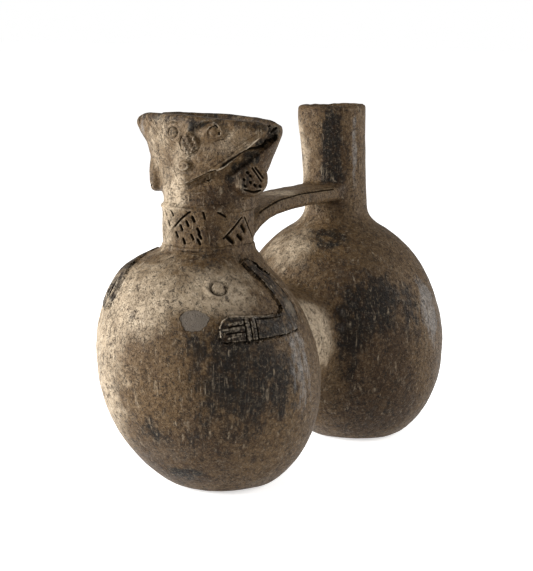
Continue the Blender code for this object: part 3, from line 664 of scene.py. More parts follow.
def ear_strokes(bottle, side, strokes):
    """Strokes on an ear's face, given as (across, up) places."""
    middle, facing, across = bottle.ear_frame(side)
    start = middle + facing * 0.75 * EAR_DEPTH
    return [[start + across * u * MM + np.array((0.0, 0.0, v * MM)) for u, v in stroke] for stroke in strokes]


def arc(start, end, height, steps=24):
    """Level stroke round the neck."""
    return [(start + (end - start) * i / steps, height + 0.25 * math.sin(0.9 * i)) for i in range(steps + 1)]


def dash(azimuth, height, length=2.2, slant=2.6):
    """Short punched dash, slanting a little."""
    return [(azimuth - slant / 2.0, height + length / 2.0), (azimuth + slant / 2.0, height - length / 2.0)]


def collar_marks():
    """Zigzag lines, punched dashes, broad pits and the thin lines on the collar."""
    zigzag = [[(9.3, 150.5), (-2.6, 146.7), (-15.0, 142.0)], [(25.8, 150.5), (28.0, 146.8)],
              [(44.0, 150.4), (54.0, 147.5)], [(78.9, 146.4), (71.3, 143.8), (51.5, 136.2)],
              [(85.1, 146.2), (94.3, 140.5), (107.0, 134.6)], [(-36.0, 134.4), (-56.0, 149.6)],
              [(-56.0, 149.6), (-78.0, 134.2)], [(-80.0, 134.2), (-102.0, 149.6)],
              [(-104.0, 149.6), (-126.0, 134.2)],
              [(122.0, 149.6), (108.0, 134.6)], [(122.0, 149.6), (140.0, 134.2)]]
    dashes = [(-18.8, 148.9), (-26.4, 143.2), (-34.5, 148.4), (-11.5, 137.8), (-4.0, 141.6), (5.0, 143.9),
              (13.2, 146.3),
              (-0.2, 134.6), (11.5, 136.9), (19.5, 140.4), (21.6, 137.4), (20.3, 134.5), (-45.0, 147.6),
              (-42.0, 139.6),
              (-52.0, 142.0), (-57.0, 137.0), (-62.0, 142.4), (-70.0, 148.0), (-84.0, 147.0), (-84.0, 141.5),
              (-94.0, 148.5), (-104.0, 142.5), (-104.0, 136.5), (-95.0, 136.5), (-114.0, 147.0),
              (112.0, 147.6),
              (122.0, 142.0), (121.0, 136.5), (131.0, 147.0)]
    broad = [[(79.0, 142.0), (84.4, 139.0)], [(72.6, 137.2), (78.8, 134.8)], [(56.4, 136.6), (64.0, 133.8)]]
    rings = [arc(-150.0, 50.0, 131.2), arc(-16.0, 20.0, 129.0), arc(52.0, 150.0, 132.0),
             arc(-150.0, 52.0, 153.9),
             arc(-20.0, 8.0, 152.6), arc(56.0, 150.0, 150.0), [(-15.0, 142.0), (-34.4, 134.9)],
             [(28.0, 146.8), (29.8, 142.8), (33.3, 135.6), (34.8, 133.2)]]
    return zigzag, [dash(a, h) for a, h in dashes], broad, rings


FINE_FACE = [[(-31.0, 196.6), (-22.0, 190.6), (-12.7, 183.3)],
             [(-27.5, 197.1), (-17.1, 190.3), (-7.7, 185.6)],
             [(-16.4, 181.5), (-12.0, 173.9), (-7.2, 168.5)], [(38.3, 194.4), (32.7, 189.8), (25.7, 184.5)],
             [(25.7, 181.9), (19.5, 176.7), (13.0, 172.6)], [(31.0, 186.6), (23.0, 180.6)],
             [(-4.6, 178.4), (-2.6, 180.0), (0.4, 180.6)], [(3.0, 161.6), (11.0, 164.4), (17.0, 168.6)]]
DEEP_FACE = [[(-34.9, 197.1), (-35.5, 193.9)], [(13.0, 193.6), (14.6, 194.4), (16.6, 194.2)],
             [(16.8, 191.8), (17.2, 191.2)],
             [(37.6, 193.8), (39.6, 195.4)], [(40.4, 192.2), (42.4, 194.4)], [(-28.6, 180.6), (-28.9, 179.9)]]
ARM_LINES = [[(62.0, 122.4), (72.0, 121.8), (80.0, 119.4), (87.0, 113.0)],
             [(76.0, 124.0), (86.0, 120.0), (93.0, 114.0)],
             [(58.0, 123.0), (68.0, 124.4)]]
ARM_EDGES = [[(74.7, 123.0), (83.3, 115.2), (86.0, 107.7), (87.0, 101.7), (84.0, 98.6)],
             [(93.4, 88.9), (80.8, 87.6), (66.2, 87.4), (54.0, 86.8), (46.8, 86.4), (43.0, 86.8)],
             [(82.0, 96.8), (71.1, 96.8), (64.0, 97.2)]]
OUTER_EDGE = [[(86.0, 123.0), (91.0, 121.0), (98.6, 115.4), (100.0, 108.8), (100.9, 100.0), (98.3, 92.4)]]
FACE_CREASES = [[(-1.4, 163.6), (6.0, 166.6), (11.2, 169.0), (15.2, 171.0)],
                [(7.0, 165.6), (13.0, 168.2), (18.0, 171.0)]]
JAW_RECESS = [[(22.6, 172.4), (30.0, 179.0), (36.9, 185.2), (40.6, 189.0)]]
EYE_LINES = [[(-12.4, 189.6), (-12.7, 191.6), (-11.0, 193.8), (-8.6, 194.0), (-6.7, 192.4), (-6.6, 190.2),
              (-8.2, 188.4)],
             [(-13.6, 194.4), (-10.4, 196.2), (-6.6, 195.6)],
             [(12.2, 190.6), (12.4, 192.8), (14.4, 194.4), (16.8, 193.8), (17.6, 192.2)],
             [(7.6, 193.4), (10.4, 196.0), (15.0, 197.0)], [(21.4, 191.4), (19.4, 188.6), (15.0, 187.2)],
             [(-3.6, 189.4), (-4.8, 186.4), (-4.0, 182.8), (-1.2, 180.2), (2.6, 180.0), (6.0, 182.6)],
             [(-5.6, 176.0), (-5.9, 173.2), (-3.6, 171.0), (0.4, 170.8), (3.6, 172.8), (4.2, 175.4)]]
HAND_GROOVES = [[(46.4, 94.3), (54.6, 94.9)], [(44.6, 91.1), (55.4, 91.5)], [(59.3, 97.8), (58.2, 87.6)],
                [(55.8, 97.6), (54.8, 87.8)], [(63.0, 97.6), (61.8, 87.8)], [(-36.0, 112.6), (-35.4, 104.6)],
                [(-42.2, 112.6), (-40.8, 103.6)], [(-47.8, 110.4), (-44.6, 103.4)],
                [(-54.2, 107.4), (-49.4, 103.0)]]
STRAP_LINE = [(10.6, -40.0, 144.4), (10.5, -37.3, 145.4), (10.4, -17.2, 149.6), (10.3, 5.6, 150.8),
              (10.9, 28.0, 150.4),
              (11.0, 44.0, 150.0)]
NIPPLE_RING = [(46.2 + 5.2 * math.sin(0.5 * i), 113.1 + 2.9 * math.cos(0.5 * i)) for i in range(14)]
NIPPLE_LINE = [[(-38.6, 123.6), (-33.0, 121.4), (-29.8, 119.6)]]
EAR_DOTS = [(-3.6, 4.2), (-5.4, 0.6), (-4.9, -2.8), (-1.9, -1.0), (0.6, -2.6), (-1.9, 2.4), (3.6, -3.2)]
EAR_LINES = [[(-0.6, 6.2), (4.4, -0.8)], [(1.0, 6.4), (5.4, 0.8)], [(-5.0, -5.0), (0.0, -6.4), (4.0, -5.6)]]


def mark_groups(bottle):
    """Groups of strokes with the stylus's half width and depth, in metres, and how dark the painted shade in
    them is.
    """
    zigzag, dashes, broad, rings = collar_marks()
    ear_dots, ear_lines = [], []
    for side in (-1.0, 1.0):
        ear_dots += ear_strokes(bottle, side,
                                [[(u * side, v), (u * side + 0.4, v - 0.4)] for u, v in EAR_DOTS])
        ear_lines += ear_strokes(bottle, side, [[(u * side, v) for u, v in line] for line in EAR_LINES])
    return {
        "deep_lines": (collar_strokes(bottle, zigzag) + face_strokes(bottle, DEEP_FACE) + ear_lines,
                       0.80 * MM, 1.00 * MM, 1.0),
        "dashes": (collar_strokes(bottle, dashes) + ear_dots, 1.10 * MM, 1.30 * MM, 1.0),
        "broad_pits": (collar_strokes(bottle, broad), 1.60 * MM, 1.50 * MM, 0.9),
        "strap_line": ([[np.array(place) * MM for place in STRAP_LINE]], 0.90 * MM, 0.40 * MM, 0.60),
        "finger_lines": (chamber_strokes(bottle, HAND_GROOVES) + face_strokes(bottle, FACE_CREASES),
                         0.60 * MM, 0.50 * MM, 0.9),
        "jaw_recess": (face_strokes(bottle, JAW_RECESS), 1.60 * MM, 0.80 * MM, 0.80),
        "nipple_ring": (chamber_strokes(bottle, [NIPPLE_RING]), 0.90 * MM, 0.20 * MM, 0.30),
        "outer_edge": (chamber_strokes(bottle, OUTER_EDGE), 1.50 * MM, 0.60 * MM, 0.60),
        "arm_edges": (chamber_strokes(bottle, ARM_EDGES), 0.70 * MM, 0.35 * MM, 0.65),
        "eye_lines": (face_strokes(bottle, EYE_LINES), 0.60 * MM, 0.25 * MM, 0.30),
        "fine_lines": (collar_strokes(bottle, rings) + face_strokes(bottle, FINE_FACE)
                       + chamber_strokes(bottle, ARM_LINES + NIPPLE_LINE), 0.50 * MM, 0.30 * MM, 0.25),
    }


def stroke_object(name, bottle, strokes, step=0.7 * MM):
    """A wire mesh of strokes, laid on the bottle's surface."""
    points, edges = [], []
    for stroke in strokes:
        line = []
        for start, end in zip(stroke[:-1], stroke[1:]):
            count = max(int(np.linalg.norm(end - start) / step), 1)
            line += [start + (end - start) * i / count for i in range(count)]
        line.append(stroke[-1])
        edges += [(len(points) + i, len(points) + i + 1) for i in range(len(line) - 1)]
        points += line
    points = settle(bottle.clay, np.array(points), rounds=5, most=2.0 * MM)
    mesh = bpy.data.meshes.new(name)
    mesh.from_pydata(points.tolist(), edges, [])
    obj = bpy.data.objects.new(name, mesh)
    bpy.context.scene.collection.objects.link(obj)
    return obj, points


# Geometry Nodes

def new_tree(name, floats=(), objects=()):
    """Empty geometry tree with a mesh in and out, named lengths and named objects."""
    tree = bpy.data.node_groups.new(name, 'GeometryNodeTree')
    tree.interface.new_socket("Geometry", in_out='INPUT', socket_type='NodeSocketGeometry')
    for socket in objects:
        tree.interface.new_socket(socket, in_out='INPUT', socket_type='NodeSocketObject')
    for socket, value in floats:
        made = tree.interface.new_socket(socket, in_out='INPUT', socket_type='NodeSocketFloat')
        made.default_value = value
    tree.interface.new_socket("Material", in_out='INPUT', socket_type='NodeSocketMaterial')
    tree.interface.new_socket("Geometry", in_out='OUTPUT', socket_type='NodeSocketGeometry')
    return tree


def add(tree, kind, links=None, **settings):
    """Add a node with settings, where a key like in_0 sets an input, and links into its inputs."""
    node = tree.nodes.new(kind)
    for key, value in settings.items():
        if key.startswith("in_"):
            name = key[3:]
            node.inputs[int(name) if name.isdigit() else name.replace("_", " ")].default_value = value
        else:
            setattr(node, key, value)
    for socket, source in (links or {}).items():
        tree.links.new(source, node.inputs[socket])
    return node


def close_tree(tree, geometry, group_in):
    """End a tree in Realize Instances and Set Material."""
    real = add(tree, 'GeometryNodeRealizeInstances', {0: geometry})
    painted = add(tree, 'GeometryNodeSetMaterial',
                  {"Geometry": real.outputs[0], "Material": group_in.outputs["Material"]})
    add(tree, 'NodeGroupOutput', {0: painted.outputs[0]})


def press_tree():
    """Tree that presses a stylus into a mesh along an object's edges and pushes up a small burr."""
    tree = new_tree("press_stylus",
                    (("Half Width", 0.6 * MM), ("Depth", 0.8 * MM), ("Burr", 0.1 * MM), ("Dirt", 1.0)),
                    ("Strokes",))
    ins = add(tree, 'NodeGroupInput')
    strokes = add(tree, 'GeometryNodeObjectInfo', {"Object": ins.outputs["Strokes"]},
                  transform_space='RELATIVE')
    near = add(tree, 'GeometryNodeProximity', {0: strokes.outputs["Geometry"]}, target_element='EDGES')
    total = add(tree, 'ShaderNodeMath', {0: ins.outputs["Depth"], 1: ins.outputs["Burr"]}, operation='ADD')
    edge = add(tree, 'ShaderNodeMath', {0: ins.outputs["Half Width"]}, operation='MULTIPLY', in_1=2.4)
    cut = add(tree, 'ShaderNodeMapRange',
              {"Value": near.outputs["Distance"], "From Max": ins.outputs["Half Width"],
                                           "To Min": total.outputs[0]}, interpolation_type='SMOOTHSTEP',
              in_To_Max=0.0)
    burr = add(tree, 'ShaderNodeMapRange',
               {"Value": near.outputs["Distance"], "From Min": ins.outputs["Half Width"],
                                            "From Max": edge.outputs[0], "To Min": ins.outputs["Burr"]},
               interpolation_type='SMOOTHSTEP', in_To_Max=0.0)
    shift = add(tree, 'ShaderNodeMath', {0: burr.outputs[0], 1: cut.outputs[0]}, operation='SUBTRACT')
    normal = add(tree, 'GeometryNodeInputNormal')
    offset = add(tree, 'ShaderNodeVectorMath', {0: normal.outputs[0], "Scale": shift.outputs[0]},
                 operation='SCALE')
    before = add(tree, 'GeometryNodeInputNamedAttribute', data_type='FLOAT', in_Name="carved")
    # The stored carved value sets how dark the mark is painted: painted shade in the stylus marks.
    share = add(tree, 'ShaderNodeMapRange',
                {"Value": near.outputs["Distance"], "From Max": ins.outputs["Half Width"],
                                             "To Min": ins.outputs["Dirt"]},
                interpolation_type='SMOOTHSTEP', in_To_Max=0.0)
    more = add(tree, 'ShaderNodeMath', {0: before.outputs[0], 1: share.outputs[0]}, operation='MAXIMUM')
    stored = add(tree, 'GeometryNodeStoreNamedAttribute',
                 {"Geometry": ins.outputs["Geometry"], "Value": more.outputs[0]},
                 data_type='FLOAT', domain='POINT', in_Name="carved")
    moved = add(tree, 'GeometryNodeSetPosition', {"Geometry": stored.outputs[0], "Offset": offset.outputs[0]})
    close_tree(tree, moved.outputs[0], ins)
    return tree


def hand_tree():
    """Tree that leaves the low unevenness of hand built walls."""
    tree = new_tree("hand_built_wall",
                    (("Height", 0.35 * MM), ("Lump Size", 22.0 * MM), ("Ripple Size", 5.0 * MM)))
    ins = add(tree, 'NodeGroupInput')
    place = add(tree, 'GeometryNodeInputPosition')
    total = None
    for socket, share in (("Lump Size", 1.0), ("Ripple Size", 0.28)):
        pitch = add(tree, 'ShaderNodeMath', {1: ins.outputs[socket]}, operation='DIVIDE', in_0=1.0)
        noise = add(tree, 'ShaderNodeTexNoise', {"Vector": place.outputs[0], "Scale": pitch.outputs[0]},
                    in_Detail=1.0)
        level = add(tree, 'ShaderNodeMath', {0: noise.outputs[0]}, operation='SUBTRACT', in_1=0.5)
        height = add(tree, 'ShaderNodeMath', {0: level.outputs[0], 1: ins.outputs["Height"]},
                     operation='MULTIPLY')
        part = add(tree, 'ShaderNodeMath', {0: height.outputs[0]}, operation='MULTIPLY', in_1=4.0 * share)
        total = part if total is None else add(tree, 'ShaderNodeMath',
                                               {0: total.outputs[0], 1: part.outputs[0]},
                                               operation='ADD')
    normal = add(tree, 'GeometryNodeInputNormal')
    offset = add(tree, 'ShaderNodeVectorMath', {0: normal.outputs[0], "Scale": total.outputs[0]},
                 operation='SCALE')
    moved = add(tree, 'GeometryNodeSetPosition',
                {"Geometry": ins.outputs["Geometry"], "Offset": offset.outputs[0]})
    close_tree(tree, moved.outputs[0], ins)
    return tree


def apply_tree(obj, tree, **values):
    """Run a tree on an object and keep the result as its plain mesh."""
    modifier = obj.modifiers.new(tree.name, 'NODES')
    modifier.node_group = tree
    for item in tree.interface.items_tree:
        key = item.name.lower().replace(" ", "_")
        if item.in_out == 'INPUT' and key in values:
            modifier[item.identifier] = values[key]
    graph = bpy.context.evaluated_depsgraph_get()
    mesh = bpy.data.meshes.new_from_object(obj.evaluated_get(graph), depsgraph=graph)
    obj.modifiers.clear()
    old = obj.data
    obj.data = mesh
    bpy.data.meshes.remove(old)


# Clay

# Smoke clouds, and painted shade in the recess under the jaw, just under the collar and between the nose and
# the right eye: place in millimetres, reach sideways and upwards, strength
SMOKE_AND_SHADE = (
    ((42, -108, 70), 34, 28, 0.80), ((35, -117, 84), 13, 7, 0.65), ((57, -90, 60), 14, 24, 0.45),
    ((30, -112, 45), 34, 24, 0.30), ((-2, -128, 38), 9, 14, 0.60), ((9, -112, 14), 13, 6, 0.85),
    ((22, -125, 86), 13, 8, 0.55), ((12, -98, 128), 9, 4, 0.50), ((4, 54, 184), 9, 20, 0.88),
    ((4, 54, 160), 9, 20, 0.82), ((35, 21, 76), 12, 40, 0.70), ((40, 27, 84), 14, 22, 0.75),
    ((48, 38, 92), 14, 32, 0.80), ((55, 56, 84), 10, 30, 0.60), ((39, 39, 25), 30, 20, 0.30),
    ((10, 43, 121), 16, 9, 0.75), ((-45, 100, 60), 26, 22, 0.45), ((-55, -60, 60), 22, 26, 0.35),
    ((0, 128, 70), 22, 26, 0.50), ((20, -87, 168), 5, 3, 0.50), ((24, -84, 173), 6, 4, 0.90),
    ((31, -82, 179), 6, 5, 0.98), ((36, -80, 185), 5, 5, 0.95), ((40, -77, 190), 5, 5, 0.90),
    ((3, -97, 194), 4, 4, 0.80), ((6, -96, 195.5), 5, 2.5, 0.70), ((24, -83, 167), 9, 9, 0.35),
)
# Brown stains, and painted shade under the chin, in the recess under the jaw and under the collar, given in
# the same way
STAINS_AND_SHADE = (
    ((12, -94, 157), 16, 8, 0.90), ((24, -84, 164), 15, 13, 0.95), ((14, -96, 140), 8, 14, 0.98),
    ((1, -97, 185.5), 7, 8, 0.75), ((30, -100, 66), 42, 48, 0.80), ((46, 36, 60), 34, 56, 0.90),
    ((16, -100, 126), 18, 6, 0.70), ((20, 30, 100), 32, 26, 0.55), ((6, 54, 165), 12, 44, 0.85),
    ((46, 36, 20), 44, 30, 0.95), ((0, 0, 140), 20, 14, 0.35), ((20, -92, 184), 14, 10, 0.40),
    ((5, -108, 26), 50, 30, 0.80), ((30, -70, 145), 14, 16, 0.60), ((36, -76, 180), 10, 16, 0.80),
)
# Pale, dusty clay, and painted light on the sides that face the lamps, given in the same way
DUST_AND_LIGHT = (
    ((-50, -108, 66), 44, 62, 0.98), ((-14, -120, 106), 38, 26, 0.70), ((28, -106, 112), 24, 18, 0.70),
    ((-14, -98, 182), 34, 24, 0.42), ((26, -88, 188), 14, 8, 0.35), ((-22, -90, 142), 20, 18, 0.75),
    ((-12, -100, 160), 14, 12, 0.80), ((29, 0, 78), 18, 34, 0.98), ((-14, 30, 118), 28, 22, 0.60),
    ((-16, 60, 165), 12, 44, 0.70), ((0, 0, 152), 14, 6, 0.60), ((-60, 70, 70), 30, 60, 0.60),
    ((3, -108, 28), 30, 12, 0.35), ((30, -108, 82), 18, 5, 0.50), ((44, -98, 116), 10, 8, 0.50),
)
# Smoked clay rubbed to a grey shine, with a grey reflection painted along the right edges as painted sheen,
# given in the same way
BURNISH_AND_SHEEN = (
    ((58, -76, 74), 14, 36, 0.62), ((60, 74, 84), 12, 34, 0.85), ((18, 62, 172), 6, 34, 0.80),
    ((47, -103, 101), 8, 7, 0.90), ((50, -96, 108), 6, 8, 0.60), ((52, -92, 88), 9, 12, 0.30),
    ((40, -74, 176), 6, 14, 0.45), ((-36, -84, 186), 6, 16, 0.50), ((30, 20, 80), 10, 14, 0.25),
)


def cloud_cover(points, clouds):
    """Strength of the nearest clouds at each point, from 0 to 1."""
    clear = np.ones(len(points))
    for place, side, tall, strength in clouds:
        gap = (points - np.array(place) * MM) / (np.array((side, side, tall)) * MM)
        reach = np.sqrt(np.einsum('ij,ij->i', gap, gap))
        clear *= 1.0 - strength * (1.0 - smooth_step(0.35, 1.25, reach))
    return 1.0 - clear


def store(mesh, name, values):
    """Keep one number for each point on a mesh."""
    layer = mesh.attributes.get(name) or mesh.attributes.new(name, 'FLOAT', 'POINT')
    layer.data.foreach_set("value", np.asarray(values, np.float32))


def clay_material(colours):
    """Burnished earthenware fired in smoke: satin where it was rubbed, matt in every hollow, where painted
    shade also darkens it; with painted highlights on raised edges and ridges, painted light on the sides
    facing the lamps and a painted grey sheen at the right edges.
    """
    # Patterns are given in millimetres. The real grain is finer than 0.3 mm, so it is drawn coarser to show.
    material = bpy.data.materials.new("smoke_fired_burnished_earthenware")
    material.use_nodes = True
    tree = material.node_tree
    tree.nodes.clear()
    place = add(tree, 'ShaderNodeTexCoord').outputs["Object"]

    def noise(size, detail=2.0, stretch=(1.0, 1.0, 1.0), offset=0.0, rough=0.5):
        """Noise whose features are about so many millimetres across."""
        moved = add(tree, 'ShaderNodeMapping', {0: place}, in_Location=(offset, offset, offset),
                    in_Scale=stretch)
        made = add(tree, 'ShaderNodeTexNoise', {"Vector": moved.outputs[0]}, in_Scale=1000.0 / size,
                   in_Detail=detail,
                   in_Roughness=rough)
        return made.outputs[0]

    def ramp(value, low, high, start=0.0, end=1.0):
        """Smooth change from start to end while the value goes from low to high."""
        return add(tree, 'ShaderNodeMapRange', {0: value}, interpolation_type='SMOOTHSTEP', in_1=low,
                   in_2=high,
                   in_3=start, in_4=end).outputs[0]

    def join(operation, a, b):
        """Sum or product of two values, either of which may be a plain number."""
        links, settings = {}, {}
        for i, value in enumerate((a, b)):
            if isinstance(value, float):
                settings["in_%d" % i] = value
            else:
                links[i] = value
        return add(tree, 'ShaderNodeMath', links, operation=operation, **settings).outputs[0]

    def swing(value, reach):
        """Noise turned to a swing of plus or minus half the reach."""
        return join('MULTIPLY', join('SUBTRACT', value, 0.5), reach)

    def attribute(name):
        """Number kept on the mesh."""
        return add(tree, 'ShaderNodeAttribute', attribute_name=name).outputs["Fac"]

    def mix(share, below, above):
        """Mix two colours, either of which may be a hex value."""
        links, settings = {0: share}, {"data_type": 'RGBA'}
        for i, value in ((6, below), (7, above)):
            if isinstance(value, str):
                settings["in_%d" % i] = linear(value)
            else:
                links[i] = value
        return add(tree, 'ShaderNodeMix', links, **settings).outputs[2]

    def wrinkle(size, width, offset):
        """Short wavy lines, where noise crosses its middle value: 1 on the lines, 0 between them."""
        level = join('ABSOLUTE', join('SUBTRACT', noise(size, 5.0, offset=offset), 0.5), 0.0)
        return ramp(level, 0.0, width, 1.0, 0.0)

    mottle = noise(16.0, 3.0)
    patch = noise(5.0, 3.0, offset=3.1)
    grain = noise(3.4, 7.0, offset=7.7, rough=0.74)
    fine = noise(1.5, 4.0, offset=4.4, rough=0.8)
    speck = noise(0.9, 1.0, offset=1.3)
    streak = noise(2.0, 4.0, stretch=(1.0, 1.0, 0.12), offset=5.0, rough=0.66)
    long_streak = noise(3.6, 4.0, stretch=(1.0, 1.0, 0.16), offset=9.0, rough=0.60)
    wrinkles = join('MULTIPLY', wrinkle(3.6, 0.020, 6.1), ramp(patch, 0.38, 0.56))
    edge = attribute("edge")
    carved = attribute("carved")
    # This attribute holds the smoke clouds and the painted shade under the jaw, under the collar and beside
    # the nose.
    fired = attribute("smoke")

    smoke = join('ADD', fired,
                 join('ADD', join('ADD', swing(patch, 1.1), swing(grain, 0.8)), swing(long_streak, 1.6)))
    stain = join('ADD', attribute("stain"), join('ADD', swing(mottle, 1.0), swing(patch, 0.8)))
    dust = join('ADD', attribute("dust"), join('ADD', swing(mottle, 1.0), join('ADD', swing(patch, 0.8),
                                                                             swing(grain, 0.7))))
    shine = join('ADD', attribute("shine"), join('ADD', swing(long_streak, 1.5), swing(patch, 0.8)))

    # Tan where the clay is dusty, and painted light on the sides that face the lamps.
    base = mix(ramp(dust, 0.10, 0.90), colours.brown, colours.tan)
    # Umber for stains, and painted shade under the chin, the jaw and the collar.
    base = mix(ramp(stain, 0.30, 1.00, 0.0, 0.75), base, colours.umber)
    # Soot for smoke clouds, and painted shade under the jaw, under the collar and beside the nose.
    base = mix(ramp(smoke, 0.20, 0.85, 0.0, 0.95), base, colours.soot)
    # Grey for burnished smoked clay, with a painted sheen reflected along the right edges.
    base = mix(ramp(shine, 0.35, 0.90, 0.0, 0.75), base, colours.grey)
    base = mix(ramp(grain, 0.49, 0.66, 0.0, 0.85), base, colours.umber)
    base = mix(join('MULTIPLY', ramp(grain, 0.48, 0.34, 0.0, 0.50), ramp(dust, 0.2, 0.9, 0.1, 1.0)), base,
               colours.pale)
    base = mix(join('MULTIPLY', ramp(fine, 0.50, 0.64), ramp(dust, 0.2, 0.9, 0.55, 0.30)), base, colours.soot)
    base = mix(ramp(fine, 0.47, 0.34, 0.0, 0.24), base, colours.tan)
    base = mix(ramp(long_streak, 0.52, 0.66, 0.0, 0.22), base, colours.umber)
    base = mix(join('MULTIPLY', wrinkles, 0.75), base, colours.soot)
    base = mix(ramp(speck, 0.64, 0.76, 0.0, 0.70), base, colours.soot)
    rubbed = join('MULTIPLY', ramp(streak, 0.54, 0.72), ramp(patch, 0.42, 0.64, 0.0, 0.60))
    base = mix(rubbed, base, colours.tan)
    base = mix(ramp(streak, 0.44, 0.28, 0.0, 0.55), base, colours.soot)
    # Raised edges turn pale: partly wear, partly a painted highlight.
    base = mix(ramp(edge, 0.20, 0.90, 0.0, 0.35), base, colours.pale)
    # Hollows, found from the curvature, are darkened with soot as painted shade.
    base = mix(ramp(edge, -0.12, -0.80, 0.0, 0.70), base, colours.soot)
    # Painted highlight along the arm and finger ridges, and worn pale on the elbow and the face's edge.
    base = mix(ramp(attribute("wear_and_highlight"), 0.25, 0.80, 0.0, 0.75), base, colours.pale)
    scar = attribute("scar")
    base = mix(join('MULTIPLY', ramp(scar, 0.05, 0.30), ramp(patch, 0.35, 0.55, 0.95, 0.4)), base,
               colours.soot)
    base = mix(ramp(scar, 0.35, 0.65, 0.0, 0.90), base, colours.scar)
    # Stylus marks are darkened almost to black: painted shade in the grooves and pits.
    base = mix(ramp(carved, 0.02, 0.55, 0.0, 0.97), base, colours.soot)

    roughness = join('ADD', ramp(grain, 0.3, 0.7, 0.42, 0.60), join('MULTIPLY', carved, 0.25))
    gloss = join('MULTIPLY', ramp(shine, 0.30, 0.90, 0.10, 0.32), ramp(carved, 0.0, 0.3, 1.0, 0.1))
    pits = join('ADD', join('MULTIPLY', ramp(speck, 0.56, 0.72), -1.0), swing(grain, 1.4))
    relief = join('ADD', join('ADD', pits, join('MULTIPLY', ramp(streak, 0.60, 0.74), 0.5)),
                  join('MULTIPLY', wrinkles, -0.9))
    bump = add(tree, 'ShaderNodeBump', {"Height": relief}, in_Strength=0.9, in_Distance=0.35 * MM)
    shader = add(tree, 'ShaderNodeBsdfPrincipled', {"Base Color": base, "Roughness": roughness,
                                                    "Normal": bump.outputs[0],
                                                    "Specular IOR Level": gloss}, in_IOR=1.5)
    add(tree, 'ShaderNodeOutputMaterial', {0: shader.outputs[0]})
    return material


